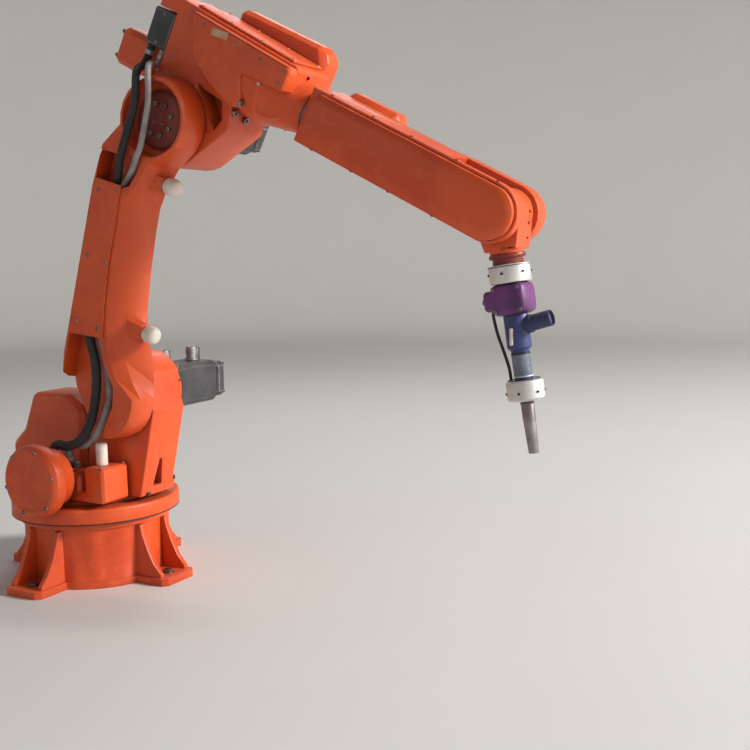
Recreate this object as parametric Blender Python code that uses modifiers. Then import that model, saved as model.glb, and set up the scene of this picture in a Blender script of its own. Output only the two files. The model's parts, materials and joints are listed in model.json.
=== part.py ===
"""Six-axis welding robot arm, floor mounted, in metres with +Z up.

The origin is on the turning axis at the underside of the base. At rest the arm reaches along +X,
its own plane is XZ, and the lower arm runs on the -Y side of the shoulder and the elbow.
"""
import math

import bmesh
import bpy
from mathutils import Matrix, Vector

# Joints, at rest
SHOULDER_X = 0.154
SHOULDER_Z = 0.473
LOWER_ARM_LENGTH = 0.6635
LOWER_ARM_LEAN = math.radians(17.1)
FOREARM_RISE = 0.1589
FOREARM_LENGTH = 0.8006
FOREARM_DIP = math.radians(27.9)
TOOL_TILT = math.radians(7.8)

# Gaps
SEAT_GAP = 0.0003
OVERRUN = 0.01
MERGE_BELOW = 0.00001

# Base
BASE_HEIGHT = 0.163
BASE_PLATE = 0.018
FOOT_REACH = 0.268
FOOT_WIDTH = 0.116
FOOT_CORNER = 0.012
FOOT_ROOT_SHARE = 0.6
DRUM_RADIUS = 0.181
DRUM_FLANGE = 0.014
DRUM_FLANGE_PROUD = 0.008
RIB_SPACING = 0.09
RIB_WALL = 0.012
RIB_REACH = 0.248
RIB_FOOT_HEIGHT = 0.008
RIB_TOP_DROP = 0.018
RIB_ROOT_DEPTH = 0.02
RIB_FLARE_SHARES = ((1.0, 0.0), (0.66, 0.2), (0.36, 0.5), (0.14, 0.8), (0.05, 1.0))
ANCHOR_CIRCLE = 0.226
ANCHOR_HOLE = 0.009
BOX_ANGLE = math.radians(135)
BOX_WIDTH = 0.17
BOX_REACH = 0.075
BOX_HEIGHT = 0.105
BOX_FLOOR = 0.03
BOX_LID = 0.004
SOCKET_RADIUS = 0.02
SOCKET_LENGTH = 0.022
SOCKET_SPACING = 0.058

# Turret table
TABLE_RADIUS = 0.21
TABLE_SEAM = 0.004
TABLE_NECK_RADIUS = 0.168
TABLE_TOP = 0.203
TABLE_CHAMFER = 0.004
HUB_RADIUS = 0.152
HUB_TOP_RADIUS = 0.136
HUB_TOP = 0.217
HUB_STEP = 0.006

# Shoulder casting, whose head is round about the shoulder axis
CHEEK_NEAR = -0.055
CHEEK_FAR = 0.06
CHEEK_HEAD = 0.1
CHEEK_FRONT_FOOT = 0.2
CHEEK_REAR_FOOT = 0.02
CHEEK_EDGE_BEVEL = 0.012
CHEEK_FRONT_SHARES = ((0.98, -0.41), (0.87, -0.02), (0.85, 0.53))
CHEEK_HEAD_START = 58
CHEEK_HEAD_END = 190
CHEEK_SLOT_WIDTH = 0.032
CHEEK_SLOT_HEIGHT = 0.068
CHEEK_SLOT_DEPTH = 0.03
CHEEK_SLOT_TOP_SHARE = 0.3
CHEEK_FLANGE_HEIGHT = 0.022
CHEEK_FLANGE_EDGE_SHARE = 0.17
CHEEK_FLANGE_FRONT = 0.208
CHEEK_FLANGE_FAR = 0.104
CHEEK_FLANGE_CORNER = 0.035
SERVO_RING_RADIUS = 0.082
SERVO_RING_LENGTH = 0.014
GEAR_FLANGE_RADIUS = 0.088

# Rear housing of the turret
REAR_LENGTH = 0.262
REAR_TOP = 0.462
REAR_FAR = 0.078
REAR_SIDE_SHARES = (
    (0.0, 0.0),
    (0.0, 0.86),
    (0.2, 1.0),
    (0.68, 1.0),
    (0.83, 0.6),
    (1.0, 0.44),
    (1.0, 0.0),
)
REAR_EDGE_BEVEL = 0.014

# Round side housing on the near side of the turret
ROUND_X = 0.03
ROUND_Z = 0.278
ROUND_RADIUS = 0.088
ROUND_NEAR = -0.25
ROUND_FAR = -0.172
ROUND_EDGE = 0.01
ROUND_RIM = 0.009
ROUND_RECESS = 0.004
ROUND_STEP = 0.003
ROUND_TABLE_GAP = 0.004
ROUND_ARM_X = -0.035
ROUND_ARM_WIDTH = 0.134
ROUND_ARM_TOP = 0.29

# Turning motor
TURN_MOTOR_X = 0.103
TURN_MOTOR_Y = -0.108
TURN_MOTOR_SIDE = 0.062
TURN_MOTOR_GAP = 0.014
TURN_MOTOR_DEPTH = 0.09
TURN_MOTOR_HEIGHT = 0.086
TURN_MOTOR_LOW_SHARE = 0.78
TURN_MOTOR_NOTCH_SHARE = 0.3
TURN_MOTOR_EDGE = 0.006
TURN_MOTOR_CAP_EDGE = 0.004
TURN_CAP_RADIUS = 0.014
TURN_CAP_HEIGHT = 0.055

# Shoulder motor, a square servo motor on the far side
SHOULDER_SERVO_SIDE = 0.108
SHOULDER_SERVO_LENGTH = 0.17
ELBOW_SERVO_SIDE = 0.092
ELBOW_SERVO_LENGTH = 0.13
SERVO_EDGE = 0.012
SERVO_CAP_LENGTH = 0.045
SERVO_CAP_SHARE = 0.87
SERVO_FLANGE_LENGTH = 0.016
SERVO_FLANGE_SHARE = 1.08
SERVO_FLANGE_EDGE = 0.006
PLUG_RADIUS = 0.014
PLUG_HEIGHT = 0.035
PLUG_SHARES = (-0.3, 0.34)

# Lower arm, in its own frame: shoulder axis at its origin, elbow axis up its +Z
ARM_NEAR = -0.127
ARM_FAR = -0.061
ARM_BEVEL_DEPTH = 0.022
ARM_FOOT_RADIUS = 0.107
ARM_FOOT_START = 232
ARM_FOOT_END = 375
ARM_HEAD_RADIUS = 0.1
ARM_HEAD_START = -30
ARM_HEAD_END = 200
ARM_REAR = 0.146
ARM_FRONT_RISE_SHARES = (0.09, 0.15, 0.23, 0.33, 0.48, 0.62, 0.7, 0.76, 0.85)
ARM_FRONT_FAR_SHARES = (0.9, 0.8, 0.565, 0.346, 0.238, 0.178, 0.17, 0.24, 0.467)
ARM_FRONT_MID_SHARES = (0.62, 0.34, 0.13, 0.03, -0.05, -0.1, -0.12, 0.0, 0.24)
ARM_FRONT_NEAR_SHARES = (0.3, 0.0, -0.16, -0.285, -0.37, -0.375, -0.4, -0.12, 0.12)
ARM_REAR_SHARES = ((0.93, 0.87), (1.0, 0.72), (1.0, 0.1), (0.95, 0.03), (0.83, -0.03))
ARM_MID_RIM = 0.003
ARM_NEAR_RIM = 0.009
CHANNEL_DEPTH = 0.045
CHANNEL_REAR = 0.13
CHANNEL_FRONT = 0.056
CHANNEL_TOP = 0.49
CHANNEL_MOUTH_SHARES = ((0.5, 1.027), (0.2, 1.1), (0.16, 1.175), (1.34, 1.155), (2.32, 1.155))
POCKET_SHARES = (
    (-1.21, 1.4),
    (-0.4, 1.4),
    (-0.27, 1.2),
    (-0.1, 0.76),
    (0.3, 0.34),
    (0.38, -0.1),
    (0.26, -0.62),
    (0.26, -1.3),
    (-1.06, -1.3),
    (-1.21, -0.4),
)
ARM_COVER_LOW = 0.12
ARM_COVER_RISE = 0.02
ARM_COVER_HIGH = 0.5
ARM_COVER_WALL = 0.003
ARM_COVER_MARGIN = 0.006
ARM_COVER_EDGE = 0.001
HEAD_RECESS_RADIUS = 0.084
HEAD_RECESS_DEPTH = 0.036
HEAD_DISC_RADIUS = 0.067
HEAD_DISC_THICK = 0.01
HEAD_DISC_STEP = 0.012

# Stop buffers on the front face of the lower arm
BUFFER_LOW = 0.178
BUFFER_HIGH = 0.525
BUFFER_LOW_FRONT = 0.039
BUFFER_HIGH_FRONT = 0.02
BUFFER_RADIUS = 0.021
BUFFER_LENGTH = 0.036
BUFFER_SHARES = ((0.0, 1.0), (0.55, 1.0), (0.88, 0.88), (1.0, 0.66), (1.0, 0.3), (0.8, 0.0), (0.0, 0.0))
LUG_SIDE = 0.034
LUG_LENGTH = 0.022

# Elbow casting, in its own frame: elbow axis at its origin, forearm along its +X
ELBOW_HEAD = 0.103
ELBOW_NEAR = -0.055
ELBOW_FAR = 0.078
ELBOW_BLOCK_NEAR = -0.084
ELBOW_TOP = 0.242
ELBOW_REAR = 0.141
ELBOW_FRONT = 0.271
ELBOW_EDGE_BEVEL = 0.01
ELBOW_HEAD_START = 165
ELBOW_HEAD_END = 318
ELBOW_FRONT_SHARES = (
    (0.45, 0.0),
    (0.53, 0.13),
    (0.56, 0.2),
    (0.51, 0.42),
    (0.9, 0.46),
    (1.0, 0.52),
    (1.0, 0.94),
    (0.97, 0.985),
)
ELBOW_REAR_SHARES = ((-0.8, 1.069), (-1.0, 0.98), (-1.0, 0.36))
ELBOW_BLOCK_SHARES = (
    (-0.095, 1.02),
    (-0.066, 0.93),
    (-0.009, 0.776),
    (0.072, 0.623),
    (0.162, 0.569),
    (0.34, 0.485),
    (0.48, 0.43),
    (0.61, 0.42),
    (0.64, 0.51),
    (0.555, 0.72),
    (1.0, 0.74),
    (1.0, 0.93),
    (0.97, 0.96),
)
ELBOW_HOLLOW_SHARES = ((0.107, 0.445), (0.211, 0.416), (0.409, 0.402), (0.473, 0.249), (0.435, 0.123), (0.334, 0.201))
ELBOW_HOLLOW_DEPTH = 0.05
NOTCH_FLOOR = -0.085
NOTCH_TOP = 0.222
NOTCH_LOW = 0.125
NOTCH_FOOT_SHARES = ((-1.0, 0.72), (-1.27, 0.3))
ELBOW_NOSE = 0.312
ELBOW_NOSE_RADIUS = 0.055
NOSE_START = 0.15
NOSE_RING_RADIUS = 0.0775
NOSE_RING_END = 0.2
NOSE_STEP_RADIUS = 0.072
NOSE_STEP_END = 0.29
NOSE_EDGE = 0.005
TOP_COVER_LENGTH = 0.29
TOP_COVER_X = 0.1
TOP_COVER_WIDTH = 0.112
TOP_COVER_WALL = 0.006
TOP_COVER_EDGE = 0.0015
ELBOW_FLANGE_RADIUS = 0.088

# Motors and connectors behind and beside the elbow
ROLL_MOTOR_LENGTH = 0.12
ROLL_MOTOR_SIDE = 0.088
ROLL_MOTOR_Y = 0.028
ROLL_MOTOR_Z = 0.092
CONNECTOR_LENGTH = 0.065
CONNECTOR_DEPTH = 0.05
CONNECTOR_HEIGHT = 0.085
CONNECTOR_Y = -0.031
CONNECTOR_LOW = 0.133
FAR_HOUSING_REAR = -0.03
FAR_HOUSING_FRONT = 0.24
FAR_HOUSING_LOW = 0.13
FAR_HOUSING_TOP = 0.285
FAR_HOUSING_OUT = 0.15
FAR_HOUSING_SHARES = ((0.0, 0.0), (1.0, 0.0), (1.0, 0.82), (0.93, 1.0), (0.0, 1.0))
FAR_HOUSING_EDGE = 0.014

# Hoses, in the lower arm's frame, in metres
HOSE_CLAMP_X = 0.02
HOSE_CLAMP_Y = -0.134
HOSE_CLAMP_LENGTH = 0.058
HOSE_CLAMP_WIDTH = 0.072
HOSE_CLAMP_HEIGHT = 0.016
HOSE_CLAMP_EDGE = 0.003
BLACK_HOSE_RADIUS = 0.0115
GREY_HOSE_RADIUS = 0.009
ELBOW_BLACK_RADIUS = 0.009
ELBOW_GREY_RADIUS = 0.007
SHOULDER_BLACK_ROUTE = [
    (-0.1, -0.1035, 0.25),
    (-0.1, -0.1035, 0.19),
    (-0.092, -0.1075, 0.145),
    (-0.07, -0.1145, 0.113),
    (-0.051, -0.1145, 0.083),
    (-0.034, -0.1145, 0.04),
    (-0.025, -0.1145, -0.02),
    (-0.0245, -0.1185, -0.078),
    (-0.033, -0.133, -0.123),
    (-0.057, -0.1445, -0.1455),
    (-0.085, -0.146, -0.152),
    (-0.0989, -0.146, -0.1685),
    (-0.0891, -0.146, -0.2004),
]
SHOULDER_GREY_ROUTE = [
    (-0.074, -0.1035, 0.25),
    (-0.074, -0.1035, 0.19),
    (-0.0695, -0.1, 0.153),
    (-0.055, -0.096, 0.12),
    (-0.036, -0.0925, 0.075),
    (-0.01, -0.0925, 0.0226),
    (0.0, -0.0935, -0.008),
    (-0.001, -0.098, -0.052),
    (-0.009, -0.106, -0.1),
    (-0.027, -0.1135, -0.136),
    (-0.0575, -0.118, -0.146),
    (-0.0777, -0.118, -0.1625),
    (-0.068, -0.118, -0.1941),
]
ELBOW_BLACK_ROUTE = [
    (-0.1079, -0.044, 0.8184),
    (-0.1129, -0.044, 0.7922),
    (-0.101, -0.068, 0.77),
    (-0.078, -0.107, 0.762),
    (-0.053, -0.1395, 0.746),
    (-0.041, -0.1415, 0.69),
    (-0.0475, -0.1415, 0.63),
    (-0.056, -0.14, 0.576),
    (-0.0645, -0.13, 0.542),
    (-0.077, -0.1125, 0.508),
    (-0.095, -0.1035, 0.475),
    (-0.108, -0.1035, 0.43),
]
ELBOW_GREY_ROUTE = [
    (-0.0736, -0.044, 0.8118),
    (-0.0786, -0.044, 0.7856),
    (-0.07, -0.067, 0.774),
    (-0.05, -0.105, 0.778),
    (-0.024, -0.137, 0.763),
    (-0.0065, -0.139, 0.7),
    (-0.0045, -0.139, 0.65),
    (-0.0055, -0.1385, 0.6),
    (-0.013, -0.137, 0.574),
    (-0.0265, -0.127, 0.543),
    (-0.048, -0.1115, 0.518),
    (-0.07, -0.1035, 0.482),
    (-0.084, -0.1035, 0.43),
]

# Forearm, in the elbow's frame
FLANGE_LENGTH = 0.014
ROLL_FLANGE_RADIUS = 0.054
FOREARM_HALF_HEIGHT = 0.06
FOREARM_EDGE = 0.008
FORK_NEAR_OUT = -0.066
FORK_NEAR_IN = -0.045
FORK_FAR_IN = 0.046
FORK_FAR_OUT = 0.092
FORK_RADIUS = 0.06
FORK_ROOT = 0.135
WAIST_FAR = 0.06
WAIST_END = 0.165
WAIST_FLARE = 0.045
BELT_COVER_START = 0.337
BELT_COVER_RADIUS = 0.0535
BELT_COVER_NEAR = -0.084
BELT_COVER_EDGE = 0.018
BELT_COVER_RIM = 0.006
FAR_COVER_LENGTH = 0.15
FAR_COVER_OUT = 0.107
FAR_COVER_RADIUS = 0.055
FAR_COVER_POINT = 0.03
FAR_COVER_EDGE = 0.005
WRIST_MOTOR_START = 0.332
WRIST_MOTOR_LENGTH = 0.14
WRIST_MOTOR_HEIGHT = 0.118
WRIST_MOTOR_RISE = 0.0125
WRIST_MOTOR_DEPTH = 0.062
WRIST_MOTOR_EDGE = 0.012

# Wrist and welding torch, in the tool's frame: wrist axis at its origin, torch along its -Z
WRIST_NEAR = -0.0345
WRIST_FAR = 0.0405
WRIST_RADIUS = 0.052
WRIST_DROP = 0.0815
WRIST_BEARING_RADIUS = 0.031
WRIST_EDGE = 0.006
WRIST_ROUND_START = -25
WRIST_ROUND_END = 205
WRIST_NECK_TOP = 0.02
WRIST_NECK_TOP_RADIUS = 0.038
WRIST_NECK_RADIUS = 0.034
WRIST_NECK_LOW = 0.075
FLANGE_FACE = 0.1025
FLANGE_DISC = 0.008
FLANGE_HUB_RADIUS = 0.031
FLANGE_RADIUS = 0.037
ADAPTOR_END = 0.1395
ADAPTOR_RADIUS = 0.042
SENSOR_END = 0.2035
SENSOR_SIDE = 0.076
SENSOR_EDGE = 0.014
SENSOR_BULGE_OUT = 0.058
SENSOR_BULGE_SIDE = 0.042
SENSOR_BULGE_EDGE = 0.006
HOLDER_RADIUS = 0.025
HOLDER_END = 0.2745
HOLDER_CHAMFER = 0.005
NECK_END = 0.3345
NECK_RADIUS = 0.0185
BOOT_DROP = 0.229
BOOT_TILT = math.radians(82)
BOOT_SHARES = ((1.0, 0.0), (1.0, 0.3), (0.88, 0.36), (0.88, 1.0), (0.78, 1.0), (0.78, 0.9), (0.0, 0.9))
BOOT_RADIUS = 0.0185
BOOT_START = 0.014
BOOT_LENGTH = 0.062
COLLAR_END = 0.3765
COLLAR_RADIUS = 0.038
COLLAR_EDGE = 0.004
NOZZLE_END = 0.4845
NOZZLE_RADIUS = 0.0135
NOZZLE_TIP_RADIUS = 0.0105
NOZZLE_WALL = 0.002
NOZZLE_TAPER_START = 0.41
TIP_RADIUS = 0.004
TIP_LENGTH = 0.035
GAS_HOSE_RADIUS = 0.0035
GAS_HOSE_ROUTE = [
    (-0.047, 0.0, -0.193),
    (-0.047, 0.0, -0.208),
    (-0.043, 0.0, -0.24),
    (-0.034, 0.0, -0.28),
    (-0.0285, 0.0, -0.309),
    (-0.0275, 0.0, -0.334),
]

ROUND_STEPS = 32
SMALL_STEPS = 16
FINE_STEPS = 48

PARTS_COLLECTION = "welding_robot"
CUTTER_COLLECTION = "welding_robot_cutters"


def start_clean():
    """Empty the scene and make the two collections."""
    for old in list(bpy.data.objects):
        bpy.data.objects.remove(old)
    made = []
    for name in (PARTS_COLLECTION, CUTTER_COLLECTION):
        collection = bpy.data.collections.new(name)
        bpy.context.scene.collection.children.link(collection)
        made.append(collection)
    return made


parts, cutters = start_clean()


def paint(name, colour, roughness, metallic):
    """A Principled material."""
    made = bpy.data.materials.new(name)
    made.use_nodes = True
    shader = made.node_tree.nodes["Principled BSDF"]
    shader.inputs["Base Color"].default_value = (*colour, 1.0)
    shader.inputs["Roughness"].default_value = roughness
    shader.inputs["Metallic"].default_value = metallic
    made.diffuse_color = (*colour, 1.0)
    return made


ORANGE = paint("orange_paint", (0.74, 0.12, 0.02), 0.4, 0.0)
DARK = paint("dark_motor", (0.03, 0.03, 0.035), 0.5, 0.0)
STEEL = paint("machined_steel", (0.55, 0.55, 0.56), 0.35, 1.0)
BRASS = paint("nozzle_brass", (0.72, 0.45, 0.2), 0.35, 1.0)
RUBBER = paint("black_rubber", (0.02, 0.02, 0.02), 0.7, 0.0)
GREY_HOSE = paint("grey_hose", (0.42, 0.4, 0.38), 0.6, 0.0)
WHITE = paint("white_plastic", (0.85, 0.82, 0.76), 0.45, 0.0)
PURPLE = paint("dark_plastic", (0.05, 0.04, 0.08), 0.5, 0.0)


def axis_frame(name, parent, place, turn_y):
    """An empty on a joint's axis, turned about Y."""
    empty = bpy.data.objects.new(name, None)
    parts.objects.link(empty)
    empty.parent = parent
    empty.location = place
    empty.rotation_euler = (0.0, turn_y, 0.0)
    return empty


turn_frame = axis_frame("turn_frame", None, (0, 0, 0), 0)
shoulder_frame = axis_frame("shoulder_frame", turn_frame, (SHOULDER_X, 0, SHOULDER_Z), LOWER_ARM_LEAN)
elbow_frame = axis_frame(
    "elbow_frame", shoulder_frame, (0, 0, LOWER_ARM_LENGTH), FOREARM_DIP - LOWER_ARM_LEAN
)
roll_frame = axis_frame("roll_frame", elbow_frame, (0, 0, FOREARM_RISE), 0)
wrist_frame = axis_frame("wrist_frame", roll_frame, (FOREARM_LENGTH, 0, 0), -FOREARM_DIP - TOOL_TILT)
tool_frame = axis_frame("tool_frame", wrist_frame, (0, 0, 0), 0)


def place_mesh(name, mesh, finish, parent, at=(0, 0, 0), turn=(0, 0, 0), cutter=False):
    """An object for a mesh, in the parts or the cutters."""
    made = bpy.data.objects.new(name, mesh)
    (cutters if cutter else parts).objects.link(made)
    made.parent = parent
    made.location = at
    made.rotation_euler = turn
    if finish is not None:
        mesh.materials.append(finish)
    if cutter:
        made.hide_render = True
        made.display_type = "WIRE"
    return made


def smooth(made, angle=math.radians(35)):
    """Shade round faces smooth and keep real edges sharp."""
    made.data.shade_smooth()
    made.data.set_sharp_from_angle(angle=angle)
    return made


def box(name, size, at, finish=None, parent=None, turn=(0, 0, 0), cutter=False):
    """A box of a size about a centre."""
    shape = bmesh.new()
    bmesh.ops.create_cube(shape, size=1)
    bmesh.ops.scale(shape, vec=Vector(size), verts=shape.verts)
    mesh = bpy.data.meshes.new(name)
    shape.to_mesh(mesh)
    shape.free()
    return place_mesh(name, mesh, finish, parent, at, turn, cutter)


AXIS_TURNS = {
    "X": (0, math.pi / 2, 0),
    "Y": (-math.pi / 2, 0, 0),
    "-Y": (math.pi / 2, 0, 0),
    "Z": (0, 0, 0),
}


def cylinder(name, radius, low, high, at, finish=None, parent=None, axis="Z", end_radius=None,
             steps=ROUND_STEPS, cutter=False):
    """A cylinder or cone along an axis, between two places on it."""
    shape = bmesh.new()
    top = radius if end_radius is None else end_radius
    bmesh.ops.create_cone(
        shape, cap_ends=True, segments=steps, radius1=radius, radius2=top, depth=high - low
    )
    bmesh.ops.translate(shape, vec=Vector((0, 0, (low + high) / 2)), verts=shape.verts)
    mesh = bpy.data.meshes.new(name)
    shape.to_mesh(mesh)
    shape.free()
    return smooth(place_mesh(name, mesh, finish, parent, at, AXIS_TURNS[axis], cutter))


def turned(name, profile, at, finish, parent, axis="Z", steps=ROUND_STEPS, cutter=False):
    """A turned piece: a profile of (radius, height) from top to bottom, about an axis."""
    mesh = bpy.data.meshes.new(name)
    points = [(radius, 0, height) for radius, height in profile]
    edges = [(number, number + 1) for number in range(len(points) - 1)]
    mesh.from_pydata(points, edges, [])
    made = place_mesh(name, mesh, finish, parent, at, AXIS_TURNS[axis], cutter)
    screw = made.modifiers.new("turn", "SCREW")
    screw.steps = steps
    screw.render_steps = steps
    screw.use_merge_vertices = True
    screw.merge_threshold = MERGE_BELOW
    return made


def slab(name, outline, low, high, finish=None, parent=None, flat="XZ", cutter=False):
    """A flat outline with a thickness: XZ between two Y, XY between two Z, YZ between two X."""
    curve = bpy.data.curves.new(name, "CURVE")
    curve.dimensions = "2D"
    curve.fill_mode = "BOTH"
    curve.extrude = (high - low) / 2
    line = curve.splines.new("POLY")
    line.points.add(len(outline) - 1)
    for point, (across, up) in zip(line.points, outline):
        point.co = (across, up, 0, 1)
    line.use_cyclic_u = True
    drawn = bpy.data.objects.new(name, curve)
    parts.objects.link(drawn)
    bpy.context.view_layer.update()
    evaluated = drawn.evaluated_get(bpy.context.evaluated_depsgraph_get())
    mesh = bpy.data.meshes.new_from_object(evaluated)
    bpy.data.objects.remove(drawn)
    bpy.data.curves.remove(curve)
    shape = bmesh.new()
    shape.from_mesh(mesh)
    bmesh.ops.remove_doubles(shape, verts=shape.verts, dist=MERGE_BELOW)
    bmesh.ops.recalc_face_normals(shape, faces=shape.faces)
    shape.to_mesh(mesh)
    shape.free()
    mesh.name = name
    middle = (low + high) / 2
    turn, at = {
        "XZ": ((math.pi / 2, 0, 0), (0, middle, 0)),
        "XY": ((0, 0, 0), (0, 0, middle)),
        "YZ": ((math.pi / 2, 0, math.pi / 2), (middle, 0, 0)),
    }[flat]
    return place_mesh(name, mesh, finish, parent, at, turn, cutter)


def loft(name, sections, finish=None, parent=None, cutter=False):
    """A closed solid through outlines of equal point counts, each at its own Y."""
    shape = bmesh.new()
    rings = []
    for across, outline in sections:
        rings.append([shape.verts.new((x, across, z)) for x, z in outline])
    for first, second in zip(rings, rings[1:]):
        for number, vert in enumerate(first):
            after = (number + 1) % len(first)
            shape.faces.new((vert, first[after], second[after], second[number]))
    shape.faces.new(rings[0])
    shape.faces.new(rings[-1])
    bmesh.ops.recalc_face_normals(shape, faces=shape.faces)
    mesh = bpy.data.meshes.new(name)
    shape.to_mesh(mesh)
    shape.free()
    return place_mesh(name, mesh, finish, parent, cutter=cutter)


def bevel(made, width, segments=1, angle=math.radians(40)):
    """Rounded edges where faces meet at more than an angle."""
    step = made.modifiers.new("edges", "BEVEL")
    step.width = width
    step.segments = segments
    step.limit_method = "ANGLE"
    step.angle_limit = angle
    return made


def combine(made, others, operation):
    """Join cutters to a piece, or cut them from it."""
    for number, other in enumerate(others):
        step = made.modifiers.new(f"{operation.lower()}_{number}", "BOOLEAN")
        step.operation = operation
        step.object = other
        step.solver = "EXACT"
    return made


def join(made, *others):
    return combine(made, others, "UNION")


def cut(made, *others):
    return combine(made, others, "DIFFERENCE")


def arc(centre, radius, start, end, count):
    """Points on an arc, from a start angle to an end angle in degrees."""
    points = []
    for number in range(count + 1):
        angle = math.radians(start + (end - start) * number / count)
        points.append((centre[0] + radius * math.cos(angle), centre[1] + radius * math.sin(angle)))
    return points


def shaped(shares, across, up, at=(0.0, 0.0)):
    """Outline points from shares of a width and of a height."""
    return [(at[0] + share_x * across, at[1] + share_z * up) for share_x, share_z in shares]


def build_base():
    """Floor plate with four ribbed feet under a round drum."""
    half = FOOT_WIDTH / 2
    skirt = DRUM_RADIUS + DRUM_FLANGE_PROUD / 2
    casting = cylinder("base_casting", skirt, 0, BASE_PLATE, (0, 0, 0), ORANGE, steps=FINE_STEPS)
    foot_root = DRUM_RADIUS * FOOT_ROOT_SHARE
    foot_outline = [
        (foot_root, -half),
        (FOOT_REACH - FOOT_CORNER, -half),
        (FOOT_REACH, -half + FOOT_CORNER),
        (FOOT_REACH, half - FOOT_CORNER),
        (FOOT_REACH - FOOT_CORNER, half),
        (foot_root, half),
    ]
    drum = cylinder("drum", DRUM_RADIUS, BASE_PLATE / 2, BASE_HEIGHT - DRUM_FLANGE / 2, (0, 0, 0),
                    steps=FINE_STEPS, cutter=True)
    flange = cylinder("drum_flange", DRUM_RADIUS + DRUM_FLANGE_PROUD, BASE_HEIGHT - DRUM_FLANGE,
                      BASE_HEIGHT, (0, 0, 0), steps=FINE_STEPS, cutter=True)
    root = DRUM_RADIUS - RIB_ROOT_DEPTH
    rib_low = BASE_PLATE + RIB_FOOT_HEIGHT
    rib_top = BASE_HEIGHT - RIB_TOP_DROP
    flare = shaped(RIB_FLARE_SHARES, RIB_REACH - skirt, rib_top - rib_low, (skirt, rib_low))
    outline = [(root, BASE_PLATE / 2), (RIB_REACH, BASE_PLATE / 2)] + flare + [(root, rib_top)]
    ribs = []
    holes = []
    feet = []
    for corner in range(4):
        turn = corner * math.pi / 2
        foot = slab(f"foot_{corner}", foot_outline, 0, BASE_PLATE, flat="XY", cutter=True)
        foot.rotation_euler = (0, 0, turn)
        feet.append(foot)
        for side in (-1, 1):
            middle = side * RIB_SPACING / 2
            rib = slab(f"rib_{corner}_{side}", outline, middle - RIB_WALL / 2, middle + RIB_WALL / 2,
                       cutter=True)
            rib.matrix_world = Matrix.Rotation(turn, 4, "Z") @ rib.matrix_basis
            ribs.append(rib)
        hole_at = (ANCHOR_CIRCLE * math.cos(turn), ANCHOR_CIRCLE * math.sin(turn), 0)
        holes.append(cylinder(f"anchor_hole_{corner}", ANCHOR_HOLE, -OVERRUN, BASE_PLATE + OVERRUN,
                              hole_at, steps=SMALL_STEPS, cutter=True))
    join(casting, *feet, drum, flange, *ribs)
    cut(casting, *holes)

    out = DRUM_RADIUS + BOX_REACH
    inner = DRUM_RADIUS / 2
    middle = (out + inner) / 2
    box_z = BOX_FLOOR + BOX_HEIGHT / 2
    at = (middle * math.cos(BOX_ANGLE), middle * math.sin(BOX_ANGLE), box_z)
    housing = box("connector_box", (out - inner, BOX_WIDTH, BOX_HEIGHT), at, ORANGE,
                  turn=(0, 0, BOX_ANGLE))
    bevel(housing, BOX_LID)
    seat = cylinder("box_seat", DRUM_RADIUS + SEAT_GAP, 0, BASE_HEIGHT + OVERRUN, (0, 0, 0),
                    steps=FINE_STEPS, cutter=True)
    cut(housing, seat)
    for side, name in ((-1, "power_socket"), (1, "signal_socket")):
        across = side * SOCKET_SPACING / 2
        face = out - BOX_LID
        at = (
            face * math.cos(BOX_ANGLE) - across * math.sin(BOX_ANGLE),
            face * math.sin(BOX_ANGLE) + across * math.cos(BOX_ANGLE),
            box_z,
        )
        socket = cylinder(name, SOCKET_RADIUS, 0, BOX_LID + SOCKET_LENGTH, at, steps=SMALL_STEPS,
                          cutter=True)
        socket.rotation_euler = (0, math.pi / 2, BOX_ANGLE)
        join(housing, socket)


def build_table():
    """The turntable: a rim over the drum, a neck down to it and a stepped hub on top."""
    seam = BASE_HEIGHT + TABLE_SEAM
    profile = [
        (0, HUB_TOP),
        (HUB_TOP_RADIUS, HUB_TOP),
        (HUB_RADIUS, HUB_TOP - HUB_STEP),
        (HUB_RADIUS, TABLE_TOP),
        (TABLE_RADIUS - TABLE_CHAMFER, TABLE_TOP),
        (TABLE_RADIUS, TABLE_TOP - TABLE_CHAMFER),
        (TABLE_RADIUS, seam),
        (TABLE_NECK_RADIUS, seam),
        (TABLE_NECK_RADIUS, BASE_HEIGHT + SEAT_GAP),
        (0, BASE_HEIGHT + SEAT_GAP),
    ]
    turned("turntable", profile, (0, 0, 0), ORANGE, turn_frame, steps=FINE_STEPS)


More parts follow.
